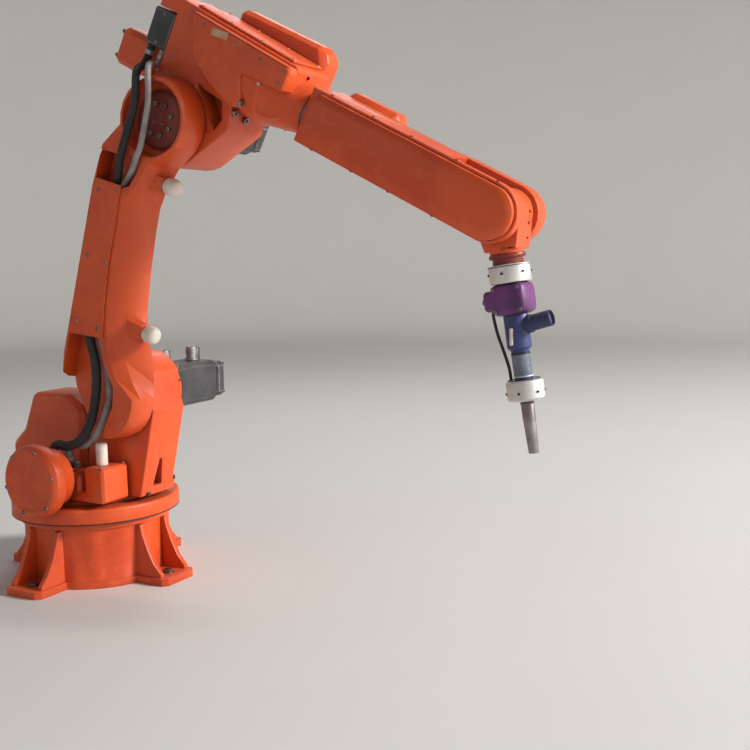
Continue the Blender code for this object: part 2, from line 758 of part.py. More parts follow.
def build_shoulder():
    """The casting that carries the shoulder axis, on its foot flange, and the rear housing."""
    foot = HUB_TOP + SEAT_GAP
    axis_at = (SHOULDER_X, SHOULDER_Z)
    front = shaped(CHEEK_FRONT_SHARES, CHEEK_HEAD, CHEEK_HEAD, axis_at)
    head = arc(axis_at, CHEEK_HEAD, CHEEK_HEAD_START, CHEEK_HEAD_END, 12)
    outline = [(CHEEK_FRONT_FOOT, foot)] + front + head + [(CHEEK_REAR_FOOT, foot)]
    cheek = slab("shoulder_casting", outline, CHEEK_NEAR, CHEEK_FAR, ORANGE, turn_frame)
    bevel(cheek, CHEEK_EDGE_BEVEL)
    corner = CHEEK_FLANGE_CORNER
    flange = slab(
        "cheek_flange",
        [
            (CHEEK_REAR_FOOT, CHEEK_NEAR),
            (CHEEK_FLANGE_FRONT - corner / 2, CHEEK_NEAR),
            (CHEEK_FLANGE_FRONT, CHEEK_NEAR + corner),
            (CHEEK_FLANGE_FRONT, CHEEK_FAR),
            (CHEEK_FLANGE_FRONT - corner, CHEEK_FLANGE_FAR),
            (CHEEK_REAR_FOOT, CHEEK_FLANGE_FAR),
        ],
        foot,
        foot + CHEEK_FLANGE_HEIGHT,
        parent=turn_frame,
        flat="XY",
        cutter=True,
    )
    bevel(flange, CHEEK_FLANGE_HEIGHT * CHEEK_FLANGE_EDGE_SHARE)
    ring = cylinder("servo_ring", SERVO_RING_RADIUS, CHEEK_FAR - OVERRUN,
                    CHEEK_FAR + SERVO_RING_LENGTH, (SHOULDER_X, 0, SHOULDER_Z), parent=turn_frame,
                    axis="Y", cutter=True)
    half = CHEEK_SLOT_WIDTH / 2
    top_half = half * CHEEK_SLOT_TOP_SHARE
    slot_low = foot + CHEEK_FLANGE_HEIGHT
    slot = slab(
        "cheek_slot",
        [
            (-half, slot_low),
            (half, slot_low),
            (top_half, slot_low + CHEEK_SLOT_HEIGHT),
            (-top_half, slot_low + CHEEK_SLOT_HEIGHT),
        ],
        CHEEK_FRONT_FOOT - CHEEK_SLOT_DEPTH,
        SHOULDER_X + CHEEK_HEAD + OVERRUN,
        parent=turn_frame,
        flat="YZ",
        cutter=True,
    )
    join(cheek, flange, ring)
    cut(cheek, slot)

    rear_front = CHEEK_REAR_FOOT - SEAT_GAP
    side = shaped(REAR_SIDE_SHARES, -REAR_LENGTH, REAR_TOP - foot, (rear_front, foot))
    rear = slab("rear_housing", side, CHEEK_NEAR, REAR_FAR, ORANGE, turn_frame)
    bevel(rear, REAR_EDGE_BEVEL)

    cylinder("shoulder_gear_flange", GEAR_FLANGE_RADIUS, ARM_FAR + SEAT_GAP,
             CHEEK_NEAR - SEAT_GAP, (SHOULDER_X, 0, SHOULDER_Z), STEEL, turn_frame, "Y")


def build_round_housing():
    """A round side housing with a raised rim, on a bracket of the turret."""
    low = HUB_TOP + SEAT_GAP
    bracket = box(
        "side_bracket",
        (ROUND_ARM_WIDTH, CHEEK_NEAR - SEAT_GAP - ROUND_FAR - SEAT_GAP, ROUND_ARM_TOP - low),
        (ROUND_ARM_X, (CHEEK_NEAR + ROUND_FAR) / 2, (ROUND_ARM_TOP + low) / 2),
        ORANGE,
        turn_frame,
    )
    bevel(bracket, REAR_EDGE_BEVEL)
    depth = ROUND_FAR - ROUND_NEAR
    step = -TABLE_RADIUS - ROUND_STEP - ROUND_NEAR
    back_radius = ROUND_Z - TABLE_TOP - ROUND_TABLE_GAP
    profile = [
        (0, -ROUND_RECESS),
        (ROUND_RADIUS - ROUND_EDGE - ROUND_RIM - ROUND_RECESS, -ROUND_RECESS),
        (ROUND_RADIUS - ROUND_EDGE - ROUND_RIM, 0),
        (ROUND_RADIUS - ROUND_EDGE, 0),
        (ROUND_RADIUS, -ROUND_EDGE),
        (ROUND_RADIUS, -step),
        (back_radius, -step),
        (back_radius, -depth),
        (0, -depth),
    ]
    turned("round_side_housing", profile, (ROUND_X, ROUND_NEAR, ROUND_Z), ORANGE, turn_frame,
           "-Y")


def build_turn_motor():
    """The turning motor: two upright blocks with a notch between, and a round plug on top."""
    low = HUB_TOP + SEAT_GAP
    half = TURN_MOTOR_SIDE + TURN_MOTOR_GAP / 2
    left = TURN_MOTOR_X - half
    right = TURN_MOTOR_X + half
    notch_left = TURN_MOTOR_X - TURN_MOTOR_GAP / 2
    notch_right = TURN_MOTOR_X + TURN_MOTOR_GAP / 2
    notch_floor = low + TURN_MOTOR_HEIGHT * TURN_MOTOR_NOTCH_SHARE
    low_top = low + TURN_MOTOR_HEIGHT * TURN_MOTOR_LOW_SHARE
    high_top = low + TURN_MOTOR_HEIGHT
    outline = [
        (left, low),
        (right, low),
        (right, high_top),
        (notch_right, high_top),
        (notch_right, notch_floor),
        (notch_left, notch_floor),
        (notch_left, low_top),
        (left, low_top),
    ]
    near = TURN_MOTOR_Y - TURN_MOTOR_DEPTH / 2
    far = TURN_MOTOR_Y + TURN_MOTOR_DEPTH / 2
    motor = slab("turn_motor", outline, near, far, ORANGE, turn_frame)
    bevel(motor, TURN_MOTOR_EDGE)
    top = high_top + SEAT_GAP
    edge = TURN_MOTOR_CAP_EDGE
    plug_x = notch_right + TURN_CAP_RADIUS + TURN_MOTOR_EDGE
    profile = [
        (0, top + TURN_CAP_HEIGHT),
        (TURN_CAP_RADIUS - edge, top + TURN_CAP_HEIGHT),
        (TURN_CAP_RADIUS, top + TURN_CAP_HEIGHT - edge),
        (TURN_CAP_RADIUS, top),
        (0, top),
    ]
    turned("turn_motor_plug", profile, (plug_x, TURN_MOTOR_Y, 0), WHITE, turn_frame,
           steps=SMALL_STEPS)


def build_servo(name, at, parent, length, side):
    """A square servo motor along +Y from its seat, with a smaller end cap and two plugs on top."""
    x, seat, z = at
    start = seat + SEAT_GAP
    body_end = start + SERVO_FLANGE_LENGTH + length
    cap_start = body_end + SEAT_GAP
    cap_end = cap_start + SERVO_CAP_LENGTH
    cap_side = side * SERVO_CAP_SHARE
    flange_side = side * SERVO_FLANGE_SHARE
    middle = (start + body_end) / 2
    body = box(name, (side, body_end - start, side), (x, middle, z), DARK, parent)
    bevel(body, SERVO_EDGE)
    flange = box(f"{name}_flange", (flange_side, SERVO_FLANGE_LENGTH, flange_side),
                 (x, start + SERVO_FLANGE_LENGTH / 2, z), parent=parent, cutter=True)
    bevel(flange, SERVO_FLANGE_EDGE)
    join(body, flange)
    plug_root = z + side / 2 - SERVO_EDGE
    plug_top = z + side / 2 + PLUG_HEIGHT
    for number, share in enumerate(PLUG_SHARES):
        plug_y = middle + share * (body_end - start)
        plug = cylinder(f"{name}_plug_{number}", PLUG_RADIUS, plug_root, plug_top, (x, plug_y, 0),
                        parent=parent, steps=SMALL_STEPS, cutter=True)
        join(body, plug)
    cap = box(f"{name}_cap", (cap_side, SERVO_CAP_LENGTH, cap_side),
              (x, (cap_start + cap_end) / 2, z), DARK, parent)
    bevel(cap, SERVO_EDGE)


def arm_outline(front_shares, rim):
    """The lower arm's outline at one depth: round foot and head, straight back, S-curved front."""
    foot = arc((0, 0), ARM_FOOT_RADIUS - rim, ARM_FOOT_START, ARM_FOOT_END, 11)
    head = arc((0, LOWER_ARM_LENGTH), ARM_HEAD_RADIUS - rim, ARM_HEAD_START, ARM_HEAD_END, 14)
    front = shaped(zip(front_shares, ARM_FRONT_RISE_SHARES), ARM_FOOT_RADIUS, LOWER_ARM_LENGTH)
    back = shaped(ARM_REAR_SHARES, rim - ARM_REAR, LOWER_ARM_LENGTH)
    return foot + front + head + back


def build_lower_arm():
    """The lower arm casting with its open cable channel, cover, head disc and buffers."""
    casting = loft(
        "lower_arm_casting",
        [
            (ARM_FAR, arm_outline(ARM_FRONT_FAR_SHARES, 0)),
            (ARM_NEAR + ARM_BEVEL_DEPTH, arm_outline(ARM_FRONT_MID_SHARES, ARM_MID_RIM)),
            (ARM_NEAR, arm_outline(ARM_FRONT_NEAR_SHARES, ARM_NEAR_RIM)),
        ],
        ORANGE,
        shoulder_frame,
    )
    floor = ARM_NEAR + CHANNEL_DEPTH
    channel = slab(
        "arm_channel",
        [(-CHANNEL_REAR, 0), (-CHANNEL_FRONT, 0), (-CHANNEL_FRONT, CHANNEL_TOP)]
        + shaped(CHANNEL_MOUTH_SHARES, -CHANNEL_FRONT, CHANNEL_TOP),
        ARM_NEAR - OVERRUN,
        floor,
        parent=shoulder_frame,
        cutter=True,
    )
    pocket = slab(
        "arm_pocket",
        shaped(POCKET_SHARES, ARM_FOOT_RADIUS, ARM_FOOT_RADIUS),
        ARM_NEAR - OVERRUN,
        floor + SEAT_GAP,
        parent=shoulder_frame,
        cutter=True,
    )
    recess = cylinder("head_recess", HEAD_RECESS_RADIUS, ARM_NEAR - OVERRUN,
                      ARM_NEAR + HEAD_RECESS_DEPTH, (0, 0, LOWER_ARM_LENGTH), parent=shoulder_frame,
                      axis="Y", cutter=True)
    cut(casting, channel, pocket, recess)

    disc_back = -(ARM_NEAR + HEAD_RECESS_DEPTH - SEAT_GAP)
    disc_front = disc_back + HEAD_DISC_THICK
    disc = [
        (0, disc_front),
        (HEAD_DISC_RADIUS - HEAD_DISC_STEP, disc_front),
        (HEAD_DISC_RADIUS, disc_front - HEAD_DISC_THICK / 2),
        (HEAD_DISC_RADIUS, disc_back),
        (0, disc_back),
    ]
    turned("elbow_axis_disc", disc, (0, 0, LOWER_ARM_LENGTH), ORANGE, shoulder_frame, "-Y")

    near_front = shaped(zip(ARM_FRONT_NEAR_SHARES, ARM_FRONT_RISE_SHARES), ARM_FOOT_RADIUS,
                        LOWER_ARM_LENGTH)
    margin = ARM_COVER_MARGIN
    cover_front = [(x - margin, z) for x, z in near_front if ARM_COVER_LOW < z < ARM_COVER_HIGH]
    rear = margin + ARM_NEAR_RIM - ARM_REAR
    outline = (
        [(rear, ARM_COVER_LOW), (cover_front[0][0], ARM_COVER_LOW + ARM_COVER_RISE)]
        + cover_front[1:]
        + [(cover_front[-1][0], ARM_COVER_HIGH), (rear, ARM_COVER_HIGH)]
    )
    cover = slab("lower_arm_cover", outline, ARM_NEAR - SEAT_GAP - ARM_COVER_WALL,
                 ARM_NEAR - SEAT_GAP, ORANGE, shoulder_frame)
    bevel(cover, ARM_COVER_EDGE)

    middle = (ARM_FAR + ARM_NEAR + ARM_BEVEL_DEPTH) / 2
    buffers = (("low", BUFFER_LOW, BUFFER_LOW_FRONT), ("high", BUFFER_HIGH, BUFFER_HIGH_FRONT))
    for name, up, face in buffers:
        lug = box(f"{name}_buffer_lug", (LUG_LENGTH * 2, LUG_SIDE, LUG_SIDE),
                  (face, middle, up), parent=shoulder_frame, cutter=True)
        join(casting, lug)
        start = face + LUG_LENGTH + SEAT_GAP
        profile = [(radius * BUFFER_RADIUS, share * BUFFER_LENGTH) for radius, share in BUFFER_SHARES]
        turned(f"{name}_buffer", profile, (start, middle, up), WHITE, shoulder_frame, "X",
               steps=SMALL_STEPS)


def build_elbow():
    """The elbow casting: a round head on the elbow axis under a box that carries the forearm."""
    front, top = ELBOW_FRONT, ELBOW_TOP
    head = arc((0, 0), ELBOW_HEAD, ELBOW_HEAD_START, ELBOW_HEAD_END, 12)
    front_side = shaped(ELBOW_FRONT_SHARES, front, top)
    rear_side = shaped(ELBOW_REAR_SHARES, ELBOW_REAR, top)
    outline = head + front_side + rear_side
    body = slab("elbow_casting", outline, ELBOW_NEAR, ELBOW_FAR, ORANGE, elbow_frame)
    bevel(body, ELBOW_EDGE_BEVEL)
    block = slab("elbow_block", shaped(ELBOW_BLOCK_SHARES, front, top), ELBOW_BLOCK_NEAR,
                 ELBOW_NEAR + ELBOW_EDGE_BEVEL * 2, parent=elbow_frame, cutter=True)
    bevel(block, ELBOW_EDGE_BEVEL)
    edge = NOSE_EDGE
    profile = [
        (0, ELBOW_NOSE),
        (ELBOW_NOSE_RADIUS, ELBOW_NOSE),
        (ELBOW_NOSE_RADIUS, NOSE_STEP_END),
        (NOSE_STEP_RADIUS, NOSE_RING_END + edge),
        (NOSE_RING_RADIUS, NOSE_RING_END),
        (NOSE_RING_RADIUS, NOSE_START + edge),
        (NOSE_RING_RADIUS - edge, NOSE_START),
        (0, NOSE_START),
    ]
    nose = turned("elbow_nose", profile, (0, 0, FOREARM_RISE), None, elbow_frame, "X", cutter=True)
    hollow = slab("elbow_hollow", shaped(ELBOW_HOLLOW_SHARES, front, top), ELBOW_NEAR - OVERRUN,
                  ELBOW_NEAR + ELBOW_HOLLOW_DEPTH, parent=elbow_frame, cutter=True)
    outside = -ELBOW_REAR - OVERRUN
    notch_foot = shaped(NOTCH_FOOT_SHARES, -NOTCH_FLOOR, NOTCH_LOW)
    notch = slab(
        "connector_notch",
        [(outside, NOTCH_TOP), (NOTCH_FLOOR, NOTCH_TOP)] + notch_foot + [(outside, notch_foot[-1][1])],
        ELBOW_NEAR - OVERRUN,
        CONNECTOR_Y + CONNECTOR_DEPTH / 2 + SEAT_GAP,
        parent=elbow_frame,
        cutter=True,
    )
    join(body, block, nose)
    cut(body, hollow, notch)

    cylinder("elbow_gear_flange", ELBOW_FLANGE_RADIUS, ARM_FAR + SEAT_GAP, ELBOW_NEAR - SEAT_GAP,
             (0, 0, 0), STEEL, elbow_frame, "Y")
    slope = math.atan2(rear_side[0][1] - front_side[-1][1], front_side[-1][0] - rear_side[0][0])
    lid_z = front_side[-1][1] + (front_side[-1][0] - TOP_COVER_X) * math.tan(slope)
    lid_z += (SEAT_GAP + TOP_COVER_WALL / 2) / math.cos(slope)
    lid = box(
        "elbow_top_cover",
        (TOP_COVER_LENGTH, TOP_COVER_WIDTH, TOP_COVER_WALL),
        (TOP_COVER_X, (ELBOW_FAR + ELBOW_NEAR) / 2, lid_z),
        ORANGE,
        elbow_frame,
        (0, slope, 0),
    )
    bevel(lid, TOP_COVER_EDGE)


def build_elbow_motors():
    """The roll motor behind the elbow, its connector block and the far side motor housing."""
    back = -ELBOW_REAR - SEAT_GAP
    motor = box("roll_motor", (ROLL_MOTOR_LENGTH, ROLL_MOTOR_SIDE, ROLL_MOTOR_SIDE),
                (back - ROLL_MOTOR_LENGTH / 2, ROLL_MOTOR_Y, ROLL_MOTOR_Z), ORANGE, elbow_frame)
    bevel(motor, SERVO_EDGE)
    block_x = NOTCH_FLOOR - SEAT_GAP - CONNECTOR_LENGTH / 2
    block = box("elbow_connectors", (CONNECTOR_LENGTH, CONNECTOR_DEPTH, CONNECTOR_HEIGHT),
                (block_x, CONNECTOR_Y, CONNECTOR_LOW + CONNECTOR_HEIGHT / 2), DARK,
                elbow_frame)
    bevel(block, BOX_LID)
    outline = shaped(FAR_HOUSING_SHARES, FAR_HOUSING_FRONT - FAR_HOUSING_REAR,
                     FAR_HOUSING_TOP - FAR_HOUSING_LOW, (FAR_HOUSING_REAR, FAR_HOUSING_LOW))
    housing = slab("wrist_drive_housing", outline, ELBOW_FAR + SEAT_GAP, FAR_HOUSING_OUT, ORANGE,
                   elbow_frame)
    bevel(housing, FAR_HOUSING_EDGE)


def build_hoses():
    """Two hoses over the shoulder and two over the elbow, all through the lower arm's channel."""
    clamp_low = ROUND_ARM_TOP + SEAT_GAP
    clamp = box("hose_clamp", (HOSE_CLAMP_LENGTH, HOSE_CLAMP_WIDTH, HOSE_CLAMP_HEIGHT),
                (HOSE_CLAMP_X, HOSE_CLAMP_Y, clamp_low + HOSE_CLAMP_HEIGHT / 2), DARK, turn_frame)
    bevel(clamp, HOSE_CLAMP_EDGE)
    tube("shoulder_hose_black", SHOULDER_BLACK_ROUTE, BLACK_HOSE_RADIUS, RUBBER, shoulder_frame)
    tube("shoulder_hose_grey", SHOULDER_GREY_ROUTE, GREY_HOSE_RADIUS, GREY_HOSE, shoulder_frame)
    tube("elbow_hose_black", ELBOW_BLACK_ROUTE, ELBOW_BLACK_RADIUS, RUBBER, shoulder_frame)
    tube("elbow_hose_grey", ELBOW_GREY_ROUTE, ELBOW_GREY_RADIUS, GREY_HOSE, shoulder_frame)


def build_forearm():
    """The forearm: roll flange, forked casting, belt cover, far cover and motor cover."""
    start = ELBOW_NOSE + SEAT_GAP
    cylinder("roll_flange", ROLL_FLANGE_RADIUS, start, start + FLANGE_LENGTH, (0, 0, 0), STEEL,
             roll_frame, "X")
    body_start = start + FLANGE_LENGTH + SEAT_GAP
    reach = FOREARM_LENGTH
    half = FOREARM_HALF_HEIGHT
    side = [(body_start, half), (body_start, -half)] + arc((reach, 0), FORK_RADIUS, -90, 90, 12)
    casting = slab("forearm_casting", side, FORK_NEAR_OUT, FORK_FAR_OUT, ORANGE, roll_frame)
    bevel(casting, FOREARM_EDGE)
    fork = slab(
        "fork_gap",
        [
            (reach - FORK_ROOT, -half - OVERRUN),
            (reach + FORK_RADIUS + OVERRUN, -half - OVERRUN),
            (reach + FORK_RADIUS + OVERRUN, half + OVERRUN),
            (reach - FORK_ROOT, half + OVERRUN),
        ],
        FORK_NEAR_IN,
        FORK_FAR_IN,
        parent=roll_frame,
        cutter=True,
    )
    far = FORK_FAR_OUT + OVERRUN
    waist_end = reach - WAIST_END
    waist = slab(
        "forearm_waist",
        [
            (waist_end, WAIST_FAR),
            (waist_end + WAIST_FLARE, far),
            (body_start - OVERRUN, far),
            (body_start - OVERRUN, WAIST_FAR),
        ],
        -half - OVERRUN,
        half + OVERRUN,
        parent=roll_frame,
        flat="XY",
        cutter=True,
    )
    cut(casting, fork, waist)

    edge = BELT_COVER_EDGE
    radius = BELT_COVER_RADIUS
    small = radius - edge
    rear = BELT_COVER_START
    outer = [(rear, radius - edge), (rear, edge - radius), (rear + edge, -radius)]
    outer += arc((reach, 0), radius, -90, 90, 14) + [(rear + edge, radius)]
    inner = [(rear + edge / 2, small - edge / 2), (rear + edge / 2, edge - small)]
    inner += [(rear + edge * 2, -small)] + arc((reach, 0), small, -90, 90, 14)
    inner += [(rear + edge, small)]
    loft("belt_cover", [(FORK_NEAR_OUT - SEAT_GAP, outer), (BELT_COVER_NEAR + BELT_COVER_RIM, outer),
                        (BELT_COVER_NEAR, inner)], ORANGE, roll_frame)

    point = reach - FAR_COVER_LENGTH
    shoulder_x = point + FAR_COVER_POINT
    outline = [(point, 0), (shoulder_x, -FAR_COVER_RADIUS)]
    outline += arc((reach, 0), FAR_COVER_RADIUS, -90, 90, 14) + [(shoulder_x, FAR_COVER_RADIUS)]
    cover = slab("far_wrist_cover", outline, FORK_FAR_OUT + SEAT_GAP, FAR_COVER_OUT, ORANGE,
                 roll_frame)
    bevel(cover, FAR_COVER_EDGE)

    motor_y = WAIST_FAR + SEAT_GAP + WRIST_MOTOR_DEPTH / 2
    motor_x = WRIST_MOTOR_START + WRIST_MOTOR_LENGTH / 2
    motor = box("wrist_motor_cover", (WRIST_MOTOR_LENGTH, WRIST_MOTOR_DEPTH, WRIST_MOTOR_HEIGHT),
                (motor_x, motor_y, WRIST_MOTOR_RISE), ORANGE, roll_frame)
    bevel(motor, WRIST_MOTOR_EDGE)


def build_wrist():
    """The wrist body between the fork's cheeks, tapering down to the tool flange."""
    outline = arc((0, 0), WRIST_RADIUS, WRIST_ROUND_START, WRIST_ROUND_END, 16)
    outline += [(-WRIST_NECK_RADIUS, -WRIST_NECK_LOW), (WRIST_NECK_RADIUS, -WRIST_NECK_LOW)]
    wrist = slab("wrist_housing", outline, WRIST_NEAR, WRIST_FAR, ORANGE, wrist_frame)
    bevel(wrist, WRIST_EDGE)
    neck = cylinder("wrist_neck", WRIST_NECK_RADIUS, -WRIST_DROP, -WRIST_NECK_TOP, (0, 0, 0),
                    parent=wrist_frame, end_radius=WRIST_NECK_TOP_RADIUS, cutter=True)
    bearing = cylinder("wrist_bearing", WRIST_BEARING_RADIUS, FORK_NEAR_IN + SEAT_GAP,
                       FORK_FAR_IN - SEAT_GAP, (0, 0, 0), parent=wrist_frame, axis="Y", cutter=True)
    join(wrist, neck, bearing)


def build_torch():
    """Tool flange, adaptor, break-away sensor, torch neck, collar, gas nozzle and small hose."""
    flange_top = -WRIST_DROP - SEAT_GAP
    flange = [
        (0, flange_top),
        (FLANGE_RADIUS, flange_top),
        (FLANGE_RADIUS, flange_top - FLANGE_DISC),
        (FLANGE_HUB_RADIUS, flange_top - FLANGE_DISC),
        (FLANGE_HUB_RADIUS, -FLANGE_FACE),
        (0, -FLANGE_FACE),
    ]
    turned("tool_flange", flange, (0, 0, 0), ORANGE, tool_frame)
    cylinder("tool_adaptor", ADAPTOR_RADIUS, -ADAPTOR_END, -FLANGE_FACE - SEAT_GAP, (0, 0, 0), STEEL,
             tool_frame)
    sensor_top = -ADAPTOR_END - SEAT_GAP
    sensor_z = (sensor_top - SENSOR_END) / 2
    sensor = box("collision_sensor", (SENSOR_SIDE, SENSOR_SIDE, sensor_top + SENSOR_END),
                 (0, 0, sensor_z), PURPLE, tool_frame)
    bevel(sensor, SENSOR_EDGE, 2)
    bulge = box("sensor_bulge", (SENSOR_BULGE_OUT, SENSOR_BULGE_SIDE, SENSOR_BULGE_SIDE),
                (-SENSOR_BULGE_OUT / 2, 0, sensor_z), parent=tool_frame, cutter=True)
    bevel(bulge, SENSOR_BULGE_EDGE)
    join(sensor, bulge)

    holder_top = -SENSOR_END - SEAT_GAP
    chamfer = HOLDER_CHAMFER
    neck_profile = [
        (0, holder_top),
        (HOLDER_RADIUS, holder_top),
        (HOLDER_RADIUS, chamfer - HOLDER_END),
        (HOLDER_RADIUS - chamfer, -HOLDER_END),
        (NECK_RADIUS, -HOLDER_END),
        (NECK_RADIUS, -NECK_END),
        (0, -NECK_END),
    ]
    turned("torch_neck", neck_profile, (0, 0, 0), DARK, tool_frame, steps=SMALL_STEPS + 8)
    boot_profile = [(radius * BOOT_RADIUS, BOOT_START + share * BOOT_LENGTH)
                    for radius, share in reversed(BOOT_SHARES)]
    boot = turned("cable_boot", boot_profile + [(0, BOOT_START)], (0, 0, -BOOT_DROP), RUBBER,
                  tool_frame, steps=SMALL_STEPS)
    boot.rotation_euler = (0, BOOT_TILT, 0)
    boot_seat = cylinder("boot_seat", HOLDER_RADIUS + SEAT_GAP, -HOLDER_END - OVERRUN,
                         -SENSOR_END + OVERRUN, (0, 0, 0), parent=tool_frame,
                         steps=SMALL_STEPS + 8, cutter=True)
    cut(boot, boot_seat)

    collar_top = -NECK_END - SEAT_GAP
    collar = [
        (0, collar_top),
        (COLLAR_RADIUS - COLLAR_EDGE, collar_top),
        (COLLAR_RADIUS, collar_top - COLLAR_EDGE),
        (COLLAR_RADIUS, COLLAR_EDGE - COLLAR_END),
        (COLLAR_RADIUS - COLLAR_EDGE, -COLLAR_END),
        (0, -COLLAR_END),
    ]
    turned("torch_collar", collar, (0, 0, 0), STEEL, tool_frame)
    inner = NOZZLE_TIP_RADIUS - NOZZLE_WALL
    mouth_floor = TIP_LENGTH - NOZZLE_END
    nozzle = [
        (0, -COLLAR_END - SEAT_GAP),
        (NOZZLE_RADIUS, -COLLAR_END - SEAT_GAP),
        (NOZZLE_RADIUS, -NOZZLE_TAPER_START),
        (NOZZLE_TIP_RADIUS, -NOZZLE_END),
        (inner, -NOZZLE_END),
        (inner, mouth_floor),
        (0, mouth_floor),
    ]
    turned("gas_nozzle", nozzle, (0, 0, 0), BRASS, tool_frame, steps=SMALL_STEPS + 8)
    tip_top = mouth_floor - SEAT_GAP
    cylinder("contact_tip", TIP_RADIUS, tip_top - TIP_LENGTH, tip_top, (0, 0, 0), BRASS, tool_frame,
             steps=SMALL_STEPS)
    tube("gas_hose", GAS_HOSE_ROUTE, GAS_HOSE_RADIUS, RUBBER, tool_frame)


def tube(name, route, radius, finish, parent):
    """A hose along a smooth route through chosen points."""
    curve = bpy.data.curves.new(name, "CURVE")
    curve.dimensions = "3D"
    curve.bevel_depth = radius
    curve.bevel_resolution = 2
    curve.use_fill_caps = True
    points = smooth_route(route)
    line = curve.splines.new("POLY")
    line.points.add(len(points) - 1)
    for point, place in zip(line.points, points):
        point.co = (*place, 1)
    made = bpy.data.objects.new(name, curve)
    parts.objects.link(made)
    made.parent = parent
    curve.materials.append(finish)
    return made


def smooth_route(route, between=4):
    """Points on a Catmull-Rom curve through the route's points."""
    ends = [Vector(route[0]) * 2 - Vector(route[1])]
    ends += [Vector(place) for place in route]
    ends.append(Vector(route[-1]) * 2 - Vector(route[-2]))
    points = []
    for number in range(1, len(ends) - 2):
        before, here, there, after = ends[number - 1:number + 3]
        for step in range(between):
            t = step / between
            points.append(
                0.5 * (
                    2 * here
                    + (there - before) * t
                    + (2 * before - 5 * here + 4 * there - after) * t * t
                    + (3 * here - before - 3 * there + after) * t * t * t
                )
            )
    points.append(ends[-2])
    return points


build_base()
build_table()
build_shoulder()
build_round_housing()
build_turn_motor()
build_servo("shoulder_motor", (SHOULDER_X, CHEEK_FAR + SERVO_RING_LENGTH, SHOULDER_Z),
            turn_frame, SHOULDER_SERVO_LENGTH, SHOULDER_SERVO_SIDE)
build_lower_arm()
build_elbow()
build_servo("elbow_motor", (0, ELBOW_FAR, 0), elbow_frame, ELBOW_SERVO_LENGTH, ELBOW_SERVO_SIDE)
build_elbow_motors()
build_hoses()
build_forearm()
build_wrist()
build_torch()
bpy.context.view_layer.update()
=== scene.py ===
# Looks of the six-axis welding robot arm: finishes, screws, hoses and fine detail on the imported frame
import json
import math

import bmesh
import bpy
import numpy as np
from mathutils import Matrix, Vector
from mathutils.bvhtree import BVHTree

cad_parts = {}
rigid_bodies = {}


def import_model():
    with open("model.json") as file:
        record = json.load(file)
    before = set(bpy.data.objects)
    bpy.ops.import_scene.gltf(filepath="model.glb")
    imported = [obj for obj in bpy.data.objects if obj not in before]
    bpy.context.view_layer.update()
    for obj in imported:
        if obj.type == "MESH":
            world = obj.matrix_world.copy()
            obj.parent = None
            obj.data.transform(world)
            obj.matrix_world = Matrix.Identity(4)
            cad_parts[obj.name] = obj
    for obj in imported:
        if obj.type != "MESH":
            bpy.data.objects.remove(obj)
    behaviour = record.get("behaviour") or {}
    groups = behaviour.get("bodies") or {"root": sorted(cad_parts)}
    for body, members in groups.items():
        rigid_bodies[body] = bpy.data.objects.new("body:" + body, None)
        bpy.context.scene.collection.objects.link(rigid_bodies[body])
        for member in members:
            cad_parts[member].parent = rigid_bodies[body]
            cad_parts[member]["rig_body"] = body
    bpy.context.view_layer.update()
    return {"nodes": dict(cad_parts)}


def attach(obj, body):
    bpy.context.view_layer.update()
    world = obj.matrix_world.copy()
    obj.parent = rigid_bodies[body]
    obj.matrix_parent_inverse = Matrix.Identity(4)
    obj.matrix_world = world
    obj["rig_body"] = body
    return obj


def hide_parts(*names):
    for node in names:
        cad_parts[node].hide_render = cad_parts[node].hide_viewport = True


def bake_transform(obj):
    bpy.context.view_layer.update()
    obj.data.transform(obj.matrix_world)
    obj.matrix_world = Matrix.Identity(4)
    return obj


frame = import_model()
print("frame loaded")

# Joint axes at rest, in metres, and how each part of the arm is turned about Y
shoulderAt = np.array((0.154, 0.0, 0.473))
elbowAt = np.array((0.3490958, 0.0, 1.1071687))
wristAt = np.array((1.1309926, 0.0, 0.8729744))
armLean = math.radians(17.1)
forearmDip = math.radians(27.9)
toolTilt = math.radians(-7.8)
armLength = 0.6635
forearmRise = 0.1589


def turnedAxes(angle):
    # columns are where local X, Y and Z point after a turn by angle about Y
    c, s = math.cos(angle), math.sin(angle)
    return np.array(((c, 0, s), (0, 1, 0), (-s, 0, c)))


armFrame = (shoulderAt, turnedAxes(armLean))
elbowFrame = (elbowAt, turnedAxes(forearmDip))
toolFrame = (wristAt, turnedAxes(toolTilt))
worldFrame = (np.zeros(3), np.eye(3))
rollFrame = (elbowAt + turnedAxes(forearmDip) @ np.array((0, 0, forearmRise)), turnedAxes(forearmDip))


def placed(points, local):
    # world = origin + axes . local point
    origin, axes = local
    return np.asarray(points, float) @ axes.T + origin


# Node trees

def newMaterial(name):
    made = bpy.data.materials.new(name)
    made.use_nodes = True
    tree = made.node_tree
    shader = tree.nodes["Principled BSDF"]
    return made, tree, shader


def node(tree, kind, inputs=None, **settings):
    made = tree.nodes.new(kind)
    for key, value in settings.items():
        setattr(made, key, value)
    for key, value in (inputs or {}).items():
        if isinstance(value, bpy.types.NodeSocket):
            tree.links.new(value, made.inputs[key])
        else:
            made.inputs[key].default_value = value
    return made


def math2(tree, operation, a, b):
    return node(tree, "ShaderNodeMath", {0: a, 1: b}, operation=operation).outputs[0]


def times(tree, a, b):
    return math2(tree, "MULTIPLY", a, b)


def noise(tree, where, scale, detail, rough=0.55):
    # fractal noise on Object coordinates
    made = node(tree, "ShaderNodeTexNoise",
        {"Vector": where, "Scale": scale, "Detail": detail, "Roughness": rough})
    return made.outputs["Fac"]


def between(tree, value, low, high):
    # 0 below low, 1 above high and smooth between
    made = node(tree, "ShaderNodeMapRange", {"Value": value, "From Min": low, "From Max": high},
                interpolation_type="SMOOTHSTEP")
    return made.outputs["Result"]


